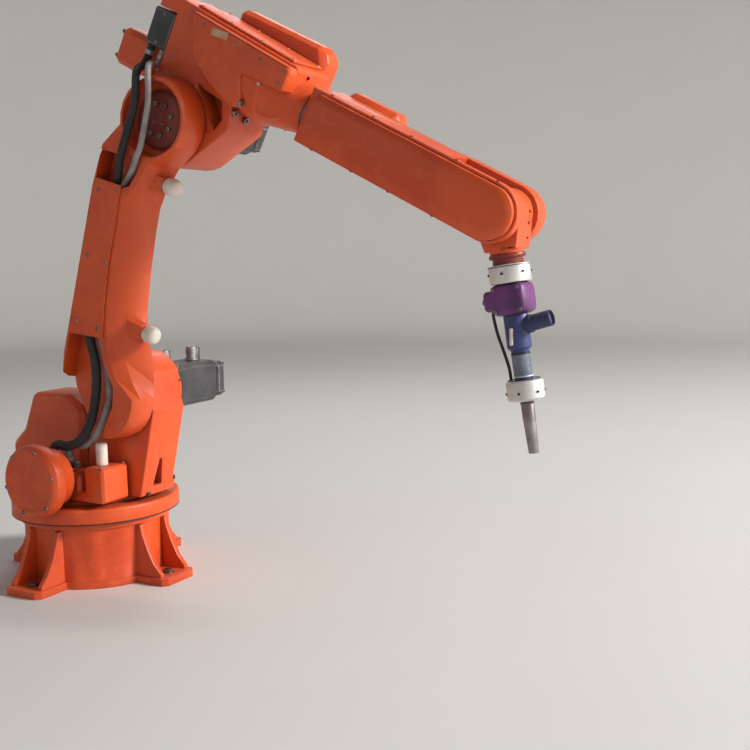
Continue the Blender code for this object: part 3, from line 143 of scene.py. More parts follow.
def mixColour(tree, share, a, b):
    return node(tree, "ShaderNodeMix", {0: share, 6: a, 7: b}, data_type="RGBA").outputs[2]


def mixValue(tree, share, a, b):
    return node(tree, "ShaderNodeMix", {0: share, 2: a, 3: b}, data_type="FLOAT").outputs[0]


def objectCoords(tree):
    return node(tree, "ShaderNodeTexCoord").outputs["Object"]


def bump(tree, height, strength, distance):
    return node(tree, "ShaderNodeBump",
        {"Height": height, "Strength": strength, "Distance": distance}).outputs[0]


def rgba(colour):
    return (*colour, 1.0)


def facingUp(tree):
    # Z of the surface normal
    normal = node(tree, "ShaderNodeNewGeometry").outputs["Normal"]
    return node(tree, "ShaderNodeSeparateXYZ", {0: normal}).outputs[2]


def inCorners(tree, reach, low, high):
    # 1 where the surface is closed in within reach, and 0 in the open
    openness = node(tree, "ShaderNodeAmbientOcclusion", {"Distance": reach}, samples=8).outputs["AO"]
    return math2(tree, "SUBTRACT", 1.0, between(tree, openness, low, high))


def joinShader(tree, shader, colour, rough, height, strength, distance):
    tree.links.new(colour, shader.inputs["Base Color"])
    tree.links.new(rough, shader.inputs["Roughness"])
    tree.links.new(bump(tree, height, strength, distance), shader.inputs["Normal"])


paintValues = {
    "base": (0.68, 0.086, 0.016),
    "deep": (0.58, 0.062, 0.012),
    "pale": (0.80, 0.135, 0.035),
    # paler colour for faces that face up: partly dust, partly painted light on top faces
    "dustAndTopLight": (0.50, 0.24, 0.14),
    # painted shade: the dark colour laid into corners and recesses
    "cornerShadeColour": (0.060, 0.018, 0.012),
    "chip": (0.16, 0.13, 0.12),
    "largeScale": 5.5,
    "smallScale": 38.0,
    "chipScale": 150.0,
    "patchScale": 17.0,
    "castScale": 420.0,
    "peelScale": 95.0,
    "paleShare": 0.35,
    "paleOnTopShare": 0.16,
    "cornerReach": 0.045,
    "roughLow": 0.30,
    "roughHigh": 0.52,
    "dirtyRough": 0.85,
    "chipRough": 0.6,
    "bumpStrength": 0.22,
    "bumpDistance": 0.0006,
}
# painted shade colour for the corners of metal parts
metalShadeColour = (0.015, 0.012, 0.012)
metalCornerReach = 0.015
plainDust = (0.36, 0.31, 0.27)


def makePaint(name, values, edgeWear=0.0, cornerShadeShare=0.55, chipShare=0.0):
    # colour = base varied by two noises, a paler tint where the surface faces up (partly dust, partly painted
    # light on top faces), painted shade in corners where the occlusion is deep, and chips where a fine noise
    # passes a high level
    material, tree, shader = newMaterial(name)
    where = objectCoords(tree)
    large = noise(tree, where, values["largeScale"], 4.0)
    small = noise(tree, where, values["smallScale"], 5.0)
    colour = mixColour(tree, between(tree, large, 0.42, 0.68), rgba(values["base"]), rgba(values["deep"]))
    paler = times(tree, between(tree, small, 0.52, 0.72), values["paleShare"])
    colour = mixColour(tree, paler, colour, rgba(values["pale"]))
    # paler where the surface faces up: partly dust, partly painted light on top faces
    paleOnTop = times(tree, between(tree, facingUp(tree), 0.45, 0.98), between(tree, small, 0.22, 0.82))
    paleOnTop = times(tree, paleOnTop, values["paleOnTopShare"])
    colour = mixColour(tree, paleOnTop, colour, rgba(values["dustAndTopLight"]))
    # painted shade: darker where the occlusion is deep, in corners and recesses; the roughness also rises
    # there
    cornerShadeMask = times(tree, inCorners(tree, values["cornerReach"], 0.12, 0.82), between(tree, large, 0.25, 0.62))
    cornerShadeMask = times(tree, cornerShadeMask, cornerShadeShare)
    colour = mixColour(tree, cornerShadeMask, colour, rgba(values["cornerShadeColour"]))
    chips = noise(tree, where, values["chipScale"], 6.0, 0.7)
    patches = noise(tree, where, values["patchScale"], 2.0)
    chipped = times(tree, between(tree, chips, 0.66, 0.69), between(tree, patches, 0.56, 0.62))
    chipped = times(tree, chipped, chipShare)
    if edgeWear:
        worn = times(tree, between(tree, small, 0.5, 0.62), edgeWear)
        colour = mixColour(tree, worn, colour, rgba(values["pale"]))
        bare = times(tree, between(tree, chips, 0.6, 0.64), between(tree, patches, 0.5, 0.6))
        chipped = math2(tree, "MAXIMUM", chipped, times(tree, bare, edgeWear))
    colour = mixColour(tree, chipped, colour, rgba(values["chip"]))
    rough = mixValue(tree, small, values["roughLow"], values["roughHigh"])
    rough = mixValue(tree, math2(tree, "MAXIMUM", paleOnTop, cornerShadeMask), rough, values["dirtyRough"])
    rough = mixValue(tree, chipped, rough, values["chipRough"])
    cast = noise(tree, where, values["castScale"], 2.0, 0.5)
    peel = noise(tree, where, values["peelScale"], 2.0, 0.5)
    height = math2(tree, "ADD", times(tree, cast, 0.35), peel)
    height = math2(tree, "SUBTRACT", height, times(tree, chipped, 0.8))
    joinShader(tree, shader, colour, rough, height, values["bumpStrength"], values["bumpDistance"])
    return material


def makeMetal(name, base, other, rough, metallic=1.0, grainScale=60.0, cornerShadeShare=0.4):
    # metal: two tones mixed by a coarse noise, painted shade in corners, and a fine grain in roughness and
    # bump
    material, tree, shader = newMaterial(name)
    where = objectCoords(tree)
    large = noise(tree, where, 14.0, 4.0)
    grain = noise(tree, where, grainScale, 3.0, 0.6)
    colour = mixColour(tree, between(tree, large, 0.35, 0.7), rgba(base), rgba(other))
    # painted shade: darker where the occlusion is deep, in corners and recesses
    dark = times(tree, inCorners(tree, metalCornerReach, 0.1, 0.8), cornerShadeShare)
    colour = mixColour(tree, dark, colour, rgba(metalShadeColour))
    roughness = mixValue(tree, grain, rough[0], rough[1])
    roughness = mixValue(tree, dark, roughness, 0.85)
    joinShader(tree, shader, colour, roughness, grain, 0.15, 0.0004)
    shader.inputs["Metallic"].default_value = metallic
    return material


def makePlain(name, base, other, rough, scale=30.0, grainScale=300.0, bumpStrength=0.12, paleOnTopShare=0.2):
    # plastic and rubber: two tones, dust facing up and a fine moulded grain
    material, tree, shader = newMaterial(name)
    where = objectCoords(tree)
    large = noise(tree, where, scale, 4.0)
    grain = noise(tree, where, grainScale, 2.0)
    colour = mixColour(tree, between(tree, large, 0.38, 0.66), rgba(base), rgba(other))
    paleOnTop = times(tree, between(tree, facingUp(tree), 0.2, 0.95), between(tree, large, 0.35, 0.7))
    paleOnTop = times(tree, paleOnTop, paleOnTopShare)
    colour = mixColour(tree, paleOnTop, colour, rgba(plainDust))
    roughness = mixValue(tree, grain, rough[0], rough[1])
    roughness = mixValue(tree, paleOnTop, roughness, 0.9)
    joinShader(tree, shader, colour, roughness, grain, bumpStrength, 0.0003)
    return material


orangePaint = makePaint("orangeEnamel", paintValues, chipShare=0.7)
orangeEdge = makePaint("orangeEnamelEdges", paintValues, edgeWear=0.55, chipShare=0.7)
# painted shade: the orange enamel made deep red, as orange paint looks in shade, for the elbow disc and the
# tool flange
shadedOrange = makePaint("darkRedEnamel", dict(paintValues, base=(0.20, 0.022, 0.012), deep=(0.12, 0.012, 0.008),
                                          pale=(0.28, 0.045, 0.022), bumpStrength=0.3), cornerShadeShare=0.6)
motorBlack = makePlain("motorBlackEnamel", (0.030, 0.029, 0.034), (0.055, 0.052, 0.058), (0.35, 0.55), 18.0,
    160.0, 0.2)
motorGrey = makeMetal("motorCastAluminium", (0.42, 0.42, 0.43), (0.30, 0.30, 0.31), (0.42, 0.62), 0.85)
groundSteel = makeMetal("groundSteel", (0.56, 0.55, 0.54), (0.40, 0.39, 0.385), (0.25, 0.45),
    grainScale=120.0)
boltSteel = makeMetal("boltZinc", (0.36, 0.32, 0.28), (0.22, 0.18, 0.15), (0.30, 0.50), grainScale=200.0)
boltBlack = makeMetal("boltBlackOxide", (0.055, 0.050, 0.048), (0.030, 0.028, 0.028), (0.35, 0.55), 0.6,
    200.0)
paleAlloy = makeMetal("paleAlloy", (0.70, 0.69, 0.67), (0.56, 0.55, 0.53), (0.38, 0.58), 0.55, 90.0)
nozzleMetal = makeMetal("nozzleMetal", (0.36, 0.34, 0.33), (0.17, 0.15, 0.15), (0.35, 0.6), 0.9, 70.0,
    cornerShadeShare=0.7)
copper = makeMetal("contactCopper", (0.70, 0.30, 0.16), (0.42, 0.17, 0.10), (0.3, 0.5), 1.0, 90.0)
rubberBlack = makePlain("rubberBlack", (0.020, 0.020, 0.022), (0.034, 0.032, 0.034), (0.55, 0.78))
hoseGrey = makePlain("hoseGrey", (0.33, 0.31, 0.30), (0.22, 0.20, 0.20), (0.48, 0.7), 24.0)
nylonWhite = makePlain("nylonWhite", (0.80, 0.74, 0.66), (0.66, 0.58, 0.50), (0.35, 0.55), 26.0,
    paleOnTopShare=0.1)
sensorPlastic = makePlain("sensorDarkViolet", (0.150, 0.030, 0.165), (0.075, 0.020, 0.105), (0.38, 0.56),
    16.0)
holderPlastic = makePlain("holderBlueBlack", (0.026, 0.036, 0.130), (0.040, 0.052, 0.175), (0.35, 0.55), 16.0)
motorEdge = makePlain("motorEdgeWorn", (0.17, 0.165, 0.17), (0.07, 0.068, 0.072), (0.35, 0.55), 60.0, 160.0)
bootBlue = makePlain("bootBlueBlack", (0.024, 0.030, 0.090), (0.036, 0.040, 0.110), (0.5, 0.75), 20.0)
dullSteel = makeMetal("dullSteel", (0.24, 0.21, 0.19), (0.15, 0.13, 0.12), (0.45, 0.65), grainScale=120.0)
platePale = makePlain("plateSand", (0.60, 0.36, 0.21), (0.50, 0.28, 0.16), (0.4, 0.6), 60.0)
print("materials made")


# Surfaces

nodeTrees = {}
for name, source in frame["nodes"].items():
    points = [source.matrix_world @ vertex.co for vertex in source.data.vertices]
    nodeTrees[name] = BVHTree.FromPolygons(points, [face.vertices[:] for face in source.data.polygons])

mergeGap = 0.000002
sharpAngle = math.radians(35)
rayReach = 0.07
splineSteps = 12


def gridQuads(rows, columns):
    # quads over a grid of rows by columns, the columns joined round
    row, column = np.meshgrid(np.arange(rows - 1), np.arange(columns), indexing="ij")
    after = (column + 1) % columns
    here, above = row * columns, (row + 1) * columns
    return np.stack((here + column, here + after, above + after, above + column), -1).reshape(-1, 4)


def ringGrid(radius, angle, height):
    # a ring of points about Z for each radius and its height
    radius, height = radius[:, None], height[:, None]
    return np.stack((radius * np.cos(angle), radius * np.sin(angle), height + 0 * angle), -1)


def gridSurface(name, points, local, turn=True):
    # a surface over a grid of points in a local frame
    rows, columns = points.shape[:2]
    return addMesh(name, placed(points.reshape(-1, 3), local), gridQuads(rows, columns), turn)


def addMesh(name, vertices, quads, turn=True):
    # doubles at poles are merged and closed shapes turned outward; edges over the sharp angle stay sharp
    mesh = bpy.data.meshes.new(name)
    mesh.vertices.add(len(vertices))
    mesh.vertices.foreach_set("co", np.asarray(vertices, np.float32).ravel())
    mesh.loops.add(quads.size)
    mesh.loops.foreach_set("vertex_index", quads.astype(np.int32).ravel())
    mesh.polygons.add(len(quads))
    mesh.polygons.foreach_set("loop_start", (np.arange(len(quads)) * 4).astype(np.int32))
    mesh.update(calc_edges=True)
    shape = bmesh.new()
    shape.from_mesh(mesh)
    bmesh.ops.remove_doubles(shape, verts=shape.verts, dist=mergeGap)
    if turn:
        bmesh.ops.recalc_face_normals(shape, faces=shape.faces)
    shape.to_mesh(mesh)
    shape.free()
    mesh.shade_smooth()
    mesh.set_sharp_from_angle(angle=sharpAngle)
    made = bpy.data.objects.new(name, mesh)
    bpy.context.scene.collection.objects.link(made)
    return made


def finish(made, material, body):
    made.data.materials.append(material)
    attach(made, body)


def revolved(rows, steps=24):
    # each row is (radius, height, hexShare); radius at an angle = r . (1 - h + h . hexagon(angle)), where the
    # hexagon's distance is 1 at its flats
    rows = np.array([(*row, 0.0)[:3] for row in rows], float)
    angle = np.linspace(0, 2 * np.pi, steps, endpoint=False)
    hexagon = 1 / np.cos((angle + np.pi / 6) % (np.pi / 3) - np.pi / 6)
    radius = rows[:, :1] * (1 - rows[:, 2:] + rows[:, 2:] * hexagon)
    return np.stack((radius * np.cos(angle), radius * np.sin(angle), np.repeat(rows[:, 1:2], steps, 1)), -1)


def boxShape(width, depth, height, edge):
    # a chamfered block standing on Z = 0, as rings of eight corners
    def eight(inset, z):
        x, y = width / 2 - inset, depth / 2 - inset
        e = max(edge - inset, edge * 0.3)
        spots = ((x, e - y), (x, y - e), (x - e, y), (e - x, y), (-x, y - e), (-x, e - y), (e - x, -y),
            (x - e, -y))
        return [(px, py, z) for px, py in spots]
    layers = [[(0, 0, 0)] * 8, eight(0, 0), eight(0, height - edge), eight(edge, height),
        [(0, 0, height)] * 8]
    return np.array(layers, float)


def aimed(aim, spin):
    # axes whose Z is the aim and whose X is turned by spin about it
    z = np.array(aim, float) / np.linalg.norm(aim)
    side = np.array((0.0, 1.0, 0.0)) if abs(z[1]) < 0.9 else np.array((1.0, 0.0, 0.0))
    x = np.cross(side, z)
    x /= np.linalg.norm(x)
    y = np.cross(z, x)
    return np.stack((x * math.cos(spin) + y * math.sin(spin), y * math.cos(spin) - x * math.sin(spin), z), 1)


def onSurface(spots, aims, piece):
    # each spot is moved along its aim to the first CAD face met from outside; a spot that meets
    # another piece first, or none, is dropped
    kept, facing = [], []
    for spot, aim in zip(spots, aims):
        best, owner = None, None
        for name, tree in nodeTrees.items():
            hit, _, _, far = tree.ray_cast(Vector(spot + aim * rayReach), Vector(-aim), rayReach * 2)
            if hit is not None and (best is None or far < best[1]):
                best, owner = (np.array(hit), far), name
        if owner == piece:
            kept.append(best[0])
            facing.append(aim)
    if len(kept) < len(spots):
        print(piece, "keeps", len(kept), "of", len(spots), "spots")
    return np.array(kept), np.array(facing)


def scattered(name, shape, spots, aims, local, piece, material, first=0.0, spin=0.0, snap=True):
    # copies of one shape on a CAD piece, in one mesh: world = spot + axes . shape point, the copy k turned
    # by first + spin . k about its aim
    spots = placed(np.array(spots, float).reshape(-1, 3), local)
    aims = np.array(aims, float).reshape(-1, 3) @ local[1].T
    aims = np.broadcast_to(aims / np.linalg.norm(aims, axis=1, keepdims=True), spots.shape)
    if snap:
        spots, aims = onSurface(spots, aims, piece)
    if not len(spots):
        print(name, "has no spot left")
        return
    turns = np.stack([aimed(aim, first + spin * k) for k, aim in enumerate(aims)])
    rows, columns = shape.shape[:2]
    copies = np.einsum("nij,rcj->nrci", turns, shape) + spots[:, None, None]
    quads = gridQuads(rows, columns)[None] + (np.arange(len(spots)) * rows * columns)[:, None, None]
    made = addMesh(name, copies.reshape(-1, 3), quads.reshape(-1, 4))
    finish(made, material, frame["nodes"][piece]["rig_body"])


def smoothed(route, count):
    # Catmull-Rom through the route's points, then count points at even distances along it, and the distances
    p = np.array(route, float)
    p = np.vstack((2 * p[0] - p[1], p, 2 * p[-1] - p[-2]))
    t = np.linspace(0, 1, splineSteps, endpoint=False)[None, :, None]
    a, b, c, d = (p[k:len(p) - 3 + k, None] for k in range(4))
    fine = 0.5 * (2 * b + (c - a) * t + (2 * a - 5 * b + 4 * c - d) * t**2 + (3 * b - a - 3 * c + d) * t**3)
    fine = np.vstack((fine.reshape(-1, 3), p[-2]))
    far = np.concatenate(((0,), np.cumsum(np.linalg.norm(np.diff(fine, axis=0), axis=1))))
    even = np.linspace(0, far[-1], count)
    return np.stack([np.interp(even, far, fine[:, k]) for k in range(3)], -1), even


def swept(path, radius, steps):
    # a round tube: point = path + r(s) . (side . cos a + other . sin a), closed by a point at each end
    tangent = np.gradient(path, axis=0)
    tangent /= np.linalg.norm(tangent, axis=1, keepdims=True)
    side = np.cross(tangent, np.array((0.0, 1.0, 0.0)))
    side /= np.linalg.norm(side, axis=1, keepdims=True)
    other = np.cross(tangent, side)
    angle = np.linspace(0, 2 * np.pi, steps, endpoint=False)
    radius = np.broadcast_to(radius, (len(path), steps))[..., None]
    out = side[:, None] * np.cos(angle)[None, :, None] + other[:, None] * np.sin(angle)[None, :, None]
    tube = path[:, None] + radius * out
    ends = [np.repeat(path[k][None, None], steps, 1) for k in (0, -1)]
    return np.concatenate((ends[0], tube, ends[1]))


# Finished copies of the CAD pieces, in metres and radians
weldGap = 0.00002
flatAngle = math.radians(1.5)
bevelAngle = math.radians(24)
bevelSegments = 2


def finishedCopy(name, material, edge, width):
    # the same solid with its doubles merged, its flat faces joined and its sharp edges rounded to width
    source = frame["nodes"][name]
    mesh = source.data.copy()
    mesh.name = name + "_finished"
    made = bpy.data.objects.new(name + "_finished", mesh)
    bpy.context.scene.collection.objects.link(made)
    mesh.materials.clear()
    mesh.materials.append(material)
    mesh.materials.append(edge)
    mesh.polygons.foreach_set("material_index", np.zeros(len(mesh.polygons), np.int32))
    mesh.shade_smooth()
    weld = made.modifiers.new("merge", "WELD")
    weld.merge_threshold = weldGap
    flat = made.modifiers.new("joinFlat", "DECIMATE")
    flat.decimate_type = "DISSOLVE"
    flat.angle_limit = flatAngle
    rounded = made.modifiers.new("roundEdges", "BEVEL")
    rounded.width = width
    rounded.segments = bevelSegments
    rounded.limit_method = "ANGLE"
    rounded.angle_limit = bevelAngle
    rounded.use_clamp_overlap = True
    rounded.harden_normals = True
    rounded.miter_outer = "MITER_ARC"
    rounded.material = 1
    bpy.context.view_layer.update()
    graph = bpy.context.evaluated_depsgraph_get()
    done = bpy.data.meshes.new_from_object(made.evaluated_get(graph), depsgraph=graph)
    made.modifiers.clear()
    made.data = done
    bpy.data.meshes.remove(mesh)
    done.name = name + "_finished"
    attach(made, source["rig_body"])
    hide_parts(name)


# Widths of the rounded edges, in metres
paintedCastings = {
    "base_casting": 0.0025, "connector_box": 0.003, "turntable": 0.0015, "shoulder_casting": 0.003,
    "rear_housing": 0.004, "side_bracket": 0.003, "round_side_housing": 0.002, "turn_motor": 0.003,
    "lower_arm_casting": 0.003, "lower_arm_cover": 0.0008, "elbow_casting": 0.003, "elbow_top_cover": 0.0012,
    "roll_motor": 0.002, "wrist_drive_housing": 0.003, "forearm_casting": 0.003, "belt_cover": 0.0015,
    "far_wrist_cover": 0.0015, "wrist_motor_cover": 0.003, "wrist_housing": 0.002,
}
for name, width in paintedCastings.items():
    finishedCopy(name, orangePaint, orangeEdge, width)
print("painted castings finished")

# Material, width of the rounded edges and slot
otherCopies = {
    "shoulder_gear_flange": (groundSteel, 0.0008, "machined_steel"),
    "elbow_gear_flange": (groundSteel, 0.0008, "machined_steel"),
    # the elbow disc wears the orange enamel darkened as painted shade
    "elbow_axis_disc": (shadedOrange, 0.0012, "orange_paint"), "roll_flange": (dullSteel, 0.001, "machined_steel"),
    "shoulder_motor": (motorBlack, 0.002, "dark_motor"),
        "shoulder_motor_cap": (motorBlack, 0.002, "dark_motor"),
    "elbow_motor": (motorBlack, 0.002, "dark_motor"), "elbow_motor_cap": (motorBlack, 0.002, "dark_motor"),
    "elbow_connectors": (motorBlack, 0.0015, "dark_motor"), "hose_clamp": (motorBlack, 0.0012, "dark_motor"),
    "turn_motor_plug": (nylonWhite, 0.0012, "white_plastic"),
        "low_buffer": (nylonWhite, 0.002, "white_plastic"),
    # the tool flange wears the orange enamel darkened as painted shade
    "high_buffer": (nylonWhite, 0.002, "white_plastic"), "tool_flange": (shadedOrange, 0.0012, "orange_paint"),
    "tool_adaptor": (paleAlloy, 0.0015, "machined_steel"),
        "collision_sensor": (sensorPlastic, 0.002, "dark_plastic"),
    "torch_neck": (holderPlastic, 0.001, "dark_motor"), "cable_boot": (bootBlue, 0.0008, "black_rubber"),
    "torch_collar": (paleAlloy, 0.0015, "machined_steel"),
        "gas_nozzle": (nozzleMetal, 0.0006, "nozzle_brass"),
    "contact_tip": (copper, 0.0004, "nozzle_brass"),
}
for name, (material, width, slotName) in otherCopies.items():
    finishedCopy(name, material, motorEdge if material == motorBlack else material, width)
print("other pieces finished")

# Screws: rows of (radius, height, hexShare) in units of the head's radius, and the heads' radii in metres
headShapes = {
    "socket": ((0, 0.55), (0.48, 0.55, 1), (0.48, 0.92, 1), (0.56, 1.0, 0.3), (0.9, 1.0), (0.97, 0.97),
               (1.0, 0.88), (1.0, -0.1), (0, -0.1)),
    "hex": ((0, 0.62), (0.74, 0.62), (0.82, 0.6, 0.5), (0.86, 0.54, 1), (0.86, 0.16, 1), (0.86, 0.14, 1),
            (1.25, 0.14), (1.3, 0.1), (1.3, -0.04), (0, -0.04)),
    "button": ((0, 0.2), (0.36, 0.2, 1), (0.38, 0.5, 1), (0.62, 0.46), (0.84, 0.33), (0.97, 0.14),
               (1.0, 0.0), (1.0, -0.1), (0, -0.1)),
}
screwSizes = {"anchor": 0.0125, "large": 0.0075, "middle": 0.0052, "small": 0.0036, "fine": 0.0026}
screwSpin = 0.4


def screws(name, head, size, spots, aims, local, piece, material=boltSteel, snap=True):
    scale = screwSizes[size]
    rows = [(radius * scale, height * scale, *share) for radius, height, *share in headShapes[head]]
    scattered(name, revolved(rows), spots, aims, local, piece, material, spin=screwSpin,
        snap=snap)


def squareTo(axis, a, b):
    # points with a and b along the other two axes, in order, and zero along this one
    zero = a * 0
    return np.stack({"x": (zero, a, b), "y": (a, zero, b), "z": (a, b, zero)}[axis], -1)


def circle(count, radius, centre, axis, start=0.0):
    # count spots at even angles round a circle square to the axis, the first at start degrees
    angle = np.radians(start + np.arange(count) * 360.0 / count)
    return squareTo(axis, np.cos(angle) * radius, np.sin(angle) * radius) + np.array(centre)


def corners(x, y, z, half, axis):
    # four spots at the corners of a square
    return squareTo(axis, np.array((-1, 1, 1, -1)) * half,
        np.array((-1, -1, 1, 1)) * half) + np.array((x, y, z))


near, far = (0, -1, 0), (0, 1, 0)
up, down = (0, 0, 1), (0, 0, -1)
ahead, behind = (1, 0, 0), (-1, 0, 0)
boxOut = np.array((-math.sqrt(0.5), math.sqrt(0.5), 0))
boxAcross = np.array((math.sqrt(0.5), math.sqrt(0.5), 0))
coverSlope = math.radians(3.097)
lidUp = (math.sin(coverSlope), 0, math.cos(coverSlope))
disc = (0, -0.1013, armLength)

# The holes under the anchor bolts are open, so no ray can find a face for them
screws("anchor_bolts", "hex", "anchor", circle(4, 0.226, (0, 0, 0.0182), "z"), up, worldFrame, "base_casting",
    snap=False)
screws("turntable_screws", "socket", "middle", circle(20, 0.194, (0, 0, 0.203), "z", 6), up, worldFrame,
    "turntable", boltBlack)
screws("hub_screws", "socket", "small", circle(14, 0.128, (0, 0, 0.217), "z", 9), up, worldFrame, "turntable",
    boltBlack)
screws("side_housing_screws", "button", "middle", circle(6, 0.0765, (0.03, -0.25, 0.278), "y", 12), near,
    worldFrame, "round_side_housing")
screws("bracket_screws", "socket", "middle",
    [(-0.085, -0.16, 0.29), (-0.06, -0.16, 0.29), (0.02, -0.165, 0.29)], up, worldFrame, "side_bracket",
    boltBlack)
screws("turn_motor_screws", "socket", "small",
    [(x, y, 0.29) for x in (0.041, 0.162) for y in (-0.147, -0.07)], up, worldFrame, "turn_motor")
screws("clamp_screws", "socket", "small", [(-0.004, -0.132, 0.3063), (0.044, -0.136, 0.3063)], up, worldFrame,
    "hose_clamp")
screws("foot_screws", "socket", "large",
    [(0.2, 0.03, 0.24), (0.2, -0.03, 0.24), (0.19, 0.076, 0.24), (0.06, 0.1, 0.24), (-0.02, 0.1, 0.24)], up,
    worldFrame, "shoulder_casting", boltBlack)
screws("cheek_screws", "socket", "middle", circle(12, 0.083, (0.154, 0.074, 0.473), "y", 15), far, worldFrame,
    "shoulder_casting", boltBlack)
screws("shoulder_motor_screws", "socket", "middle", corners(0.154, 0.09, 0.473, 0.052, "y"), far, worldFrame,
    "shoulder_motor")
screws("shoulder_cap_screws", "socket", "small", corners(0.154, 0.29, 0.473, 0.038, "y"), far, worldFrame,
    "shoulder_motor_cap")
screws("rear_housing_screws", "button", "middle",
    [(-0.05, 0.09, 0.43), (-0.16, 0.09, 0.43), (-0.2, 0.09, 0.35), (-0.2, 0.09, 0.26), (-0.02, 0.09, 0.27),
    (-0.11, 0.09, 0.25)], far, worldFrame, "rear_housing")
lidSpots = [boxOut * 0.27 + boxAcross * side + np.array((0, 0, z))
            for side in (-0.068, 0.068) for z in (0.045, 0.12)]
screws("box_lid_screws", "button", "small", lidSpots, boxOut, worldFrame, "connector_box")

screws("elbow_disc_bolts", "socket", "middle", circle(8, 0.036, disc, "y", 22.5), near, armFrame,
    "elbow_axis_disc")
screws("elbow_disc_screws", "button", "fine", circle(3, 0.015, disc, "y", 90), near, armFrame,
    "elbow_axis_disc")
screws("arm_cover_screws", "button", "middle",
    [(-0.047, -0.1303, 0.474), (-0.113, -0.1303, 0.474), (-0.054, -0.1303, 0.316), (-0.113, -0.1303, 0.316),
    (-0.044, -0.1303, 0.157), (-0.113, -0.1303, 0.1575)], near, armFrame, "lower_arm_cover")

screws("elbow_block_screws", "button", "small",
    [(0.02, -0.084, 0.232), (0.115, -0.084, 0.225), (0.19, -0.084, 0.22), (0.252, -0.084, 0.219),
    (0.252, -0.084, 0.192)], near, elbowFrame, "elbow_casting")
screws("top_cover_screws", "button", "small",
    [(x, y, 0.25) for x in (-0.037, 0.054, 0.146, 0.237) for y in (-0.038, 0.061)], lidUp, elbowFrame,
    "elbow_top_cover")
screws("collar_bolts", "socket", "large",
    [(0.2, 0.086 * math.sin(a), 0.1589 - 0.086 * math.cos(a)) for a in np.radians((-60, -30, 0, 30, 60))],
    ahead, elbowFrame, "elbow_casting")
screws("nose_screws", "socket", "small", circle(8, 0.064, (0.3, 0, forearmRise), "x", 12), ahead, elbowFrame,
    "elbow_casting", boltBlack)
screws("elbow_motor_screws", "socket", "middle", corners(0, 0.094, 0, 0.044, "y"), far, elbowFrame,
    "elbow_motor")
screws("elbow_cap_screws", "socket", "small", corners(0, 0.25, 0, 0.032, "y"), far, elbowFrame,
    "elbow_motor_cap")
screws("roll_motor_screws", "socket", "middle", corners(-0.262, 0.028, 0.092, 0.029, "x"), behind, elbowFrame,
    "roll_motor")
screws("drive_housing_screws", "button", "middle",
    [(0, 0.15, 0.15), (0, 0.15, 0.262), (0.1, 0.15, 0.268), (0.1, 0.15, 0.146), (0.212, 0.15, 0.15),
    (0.205, 0.15, 0.255)], far, elbowFrame, "wrist_drive_housing")
screws("connector_screws", "button", "small", [(-0.118, -0.056, 0.143), (-0.118, -0.056, 0.208)], near,
    elbowFrame, "elbow_connectors")

screws("belt_seam_screws", "button", "small",
    [(x, -0.0615, 0.06) for x in (0.374, 0.482, 0.579, 0.691, 0.789)], up, rollFrame, "forearm_casting",
    boltBlack)
screws("belt_low_screws", "button", "small", [(x, -0.0615, -0.06) for x in (0.374, 0.482, 0.579, 0.691)],
    down, rollFrame, "forearm_casting", boltBlack)
screws("far_cover_screws", "button", "small",
    [(0.667, 0.107, 0), (0.69, 0.107, 0.04), (0.69, 0.107, -0.04), (0.84, 0.107, 0.022),
    (0.84, 0.107, -0.022), (0.79, 0.107, 0.043), (0.79, 0.107, -0.043)], far, rollFrame, "far_wrist_cover")
screws("wrist_motor_screws", "button", "small",
    [(x, 0.122, z) for x in (0.348, 0.456) for z in (-0.03, 0.055)], far, rollFrame, "wrist_motor_cover")
wristAims = [(math.cos(a), 0, math.sin(a)) for a in np.radians((-55, -30, -5))]
screws("wrist_screws", "button", "small", [(0.05 * x, 0.02, 0.05 * z) for x, _, z in wristAims], wristAims,
    toolFrame, "wrist_housing", boltBlack)
around = [(math.cos(a), math.sin(a), 0) for a in np.radians((-150, -90, -30, 30, 90, 150))]
screws("adaptor_screws", "socket", "fine", [(0.042 * x, 0.042 * y, -0.12) for x, y, _ in around], around,
    toolFrame, "tool_adaptor", boltBlack)
screws("collar_screws", "socket", "fine", [(0.038 * x, 0.038 * y, -0.36) for x, y, _ in around], around,
    toolFrame, "torch_collar", boltBlack)
screws("sensor_screws", "socket", "small", [(x, -0.038, z) for x in (-0.026, 0.026) for z in (-0.15, -0.194)],
    near, toolFrame, "collision_sensor")
screws("sensor_far_screws", "socket", "small",
    [(x, 0.038, z) for x in (-0.026, 0.026) for z in (-0.15, -0.194)], far, toolFrame, "collision_sensor")
print("screws made")

# Plugs, nipples, knobs and caps, as rows of (radius, height) in metres from the surface they stand on
ringShapes = {
    "plug": ((0, 0.0005), (0.0085, 0.0005), (0.0088, 0.002), (0.0125, 0.0022), (0.0132, 0.0014),
             (0.0132, -0.004), (0.0149, -0.005), (0.0149, -0.008), (0.0141, -0.0088), (0.0149, -0.0096),
             (0.0149, -0.0126), (0.0141, -0.0134), (0.0149, -0.0142), (0.0149, -0.0172), (0.0138, -0.018),
             (0.0138, -0.027), (0.0168, -0.0278), (0.0168, -0.034), (0, -0.034)),
    "nipple": ((0, 0.0062), (0.0012, 0.0062), (0.0019, 0.0052), (0.0014, 0.0036), (0.0017, 0.0028),
               (0.0034, 0.0026, 1), (0.0034, -0.001, 1), (0, -0.001)),
    "knob": ((0, 0.007), (0.0052, 0.007), (0.0062, 0.0062), (0.0064, 0.002), (0.0075, 0.0014),
             (0.0078, -0.001), (0, -0.001)),
    "socketCap": ((0, 0.002), (0.012, 0.002), (0.0135, 0.001), (0.014, -0.003), (0.0208, -0.0035),
                  (0.0212, -0.0075), (0.0196, -0.0085), (0.0212, -0.0095), (0.0212, -0.0145),
                  (0.0205, -0.0155), (0, -0.0155)),
}


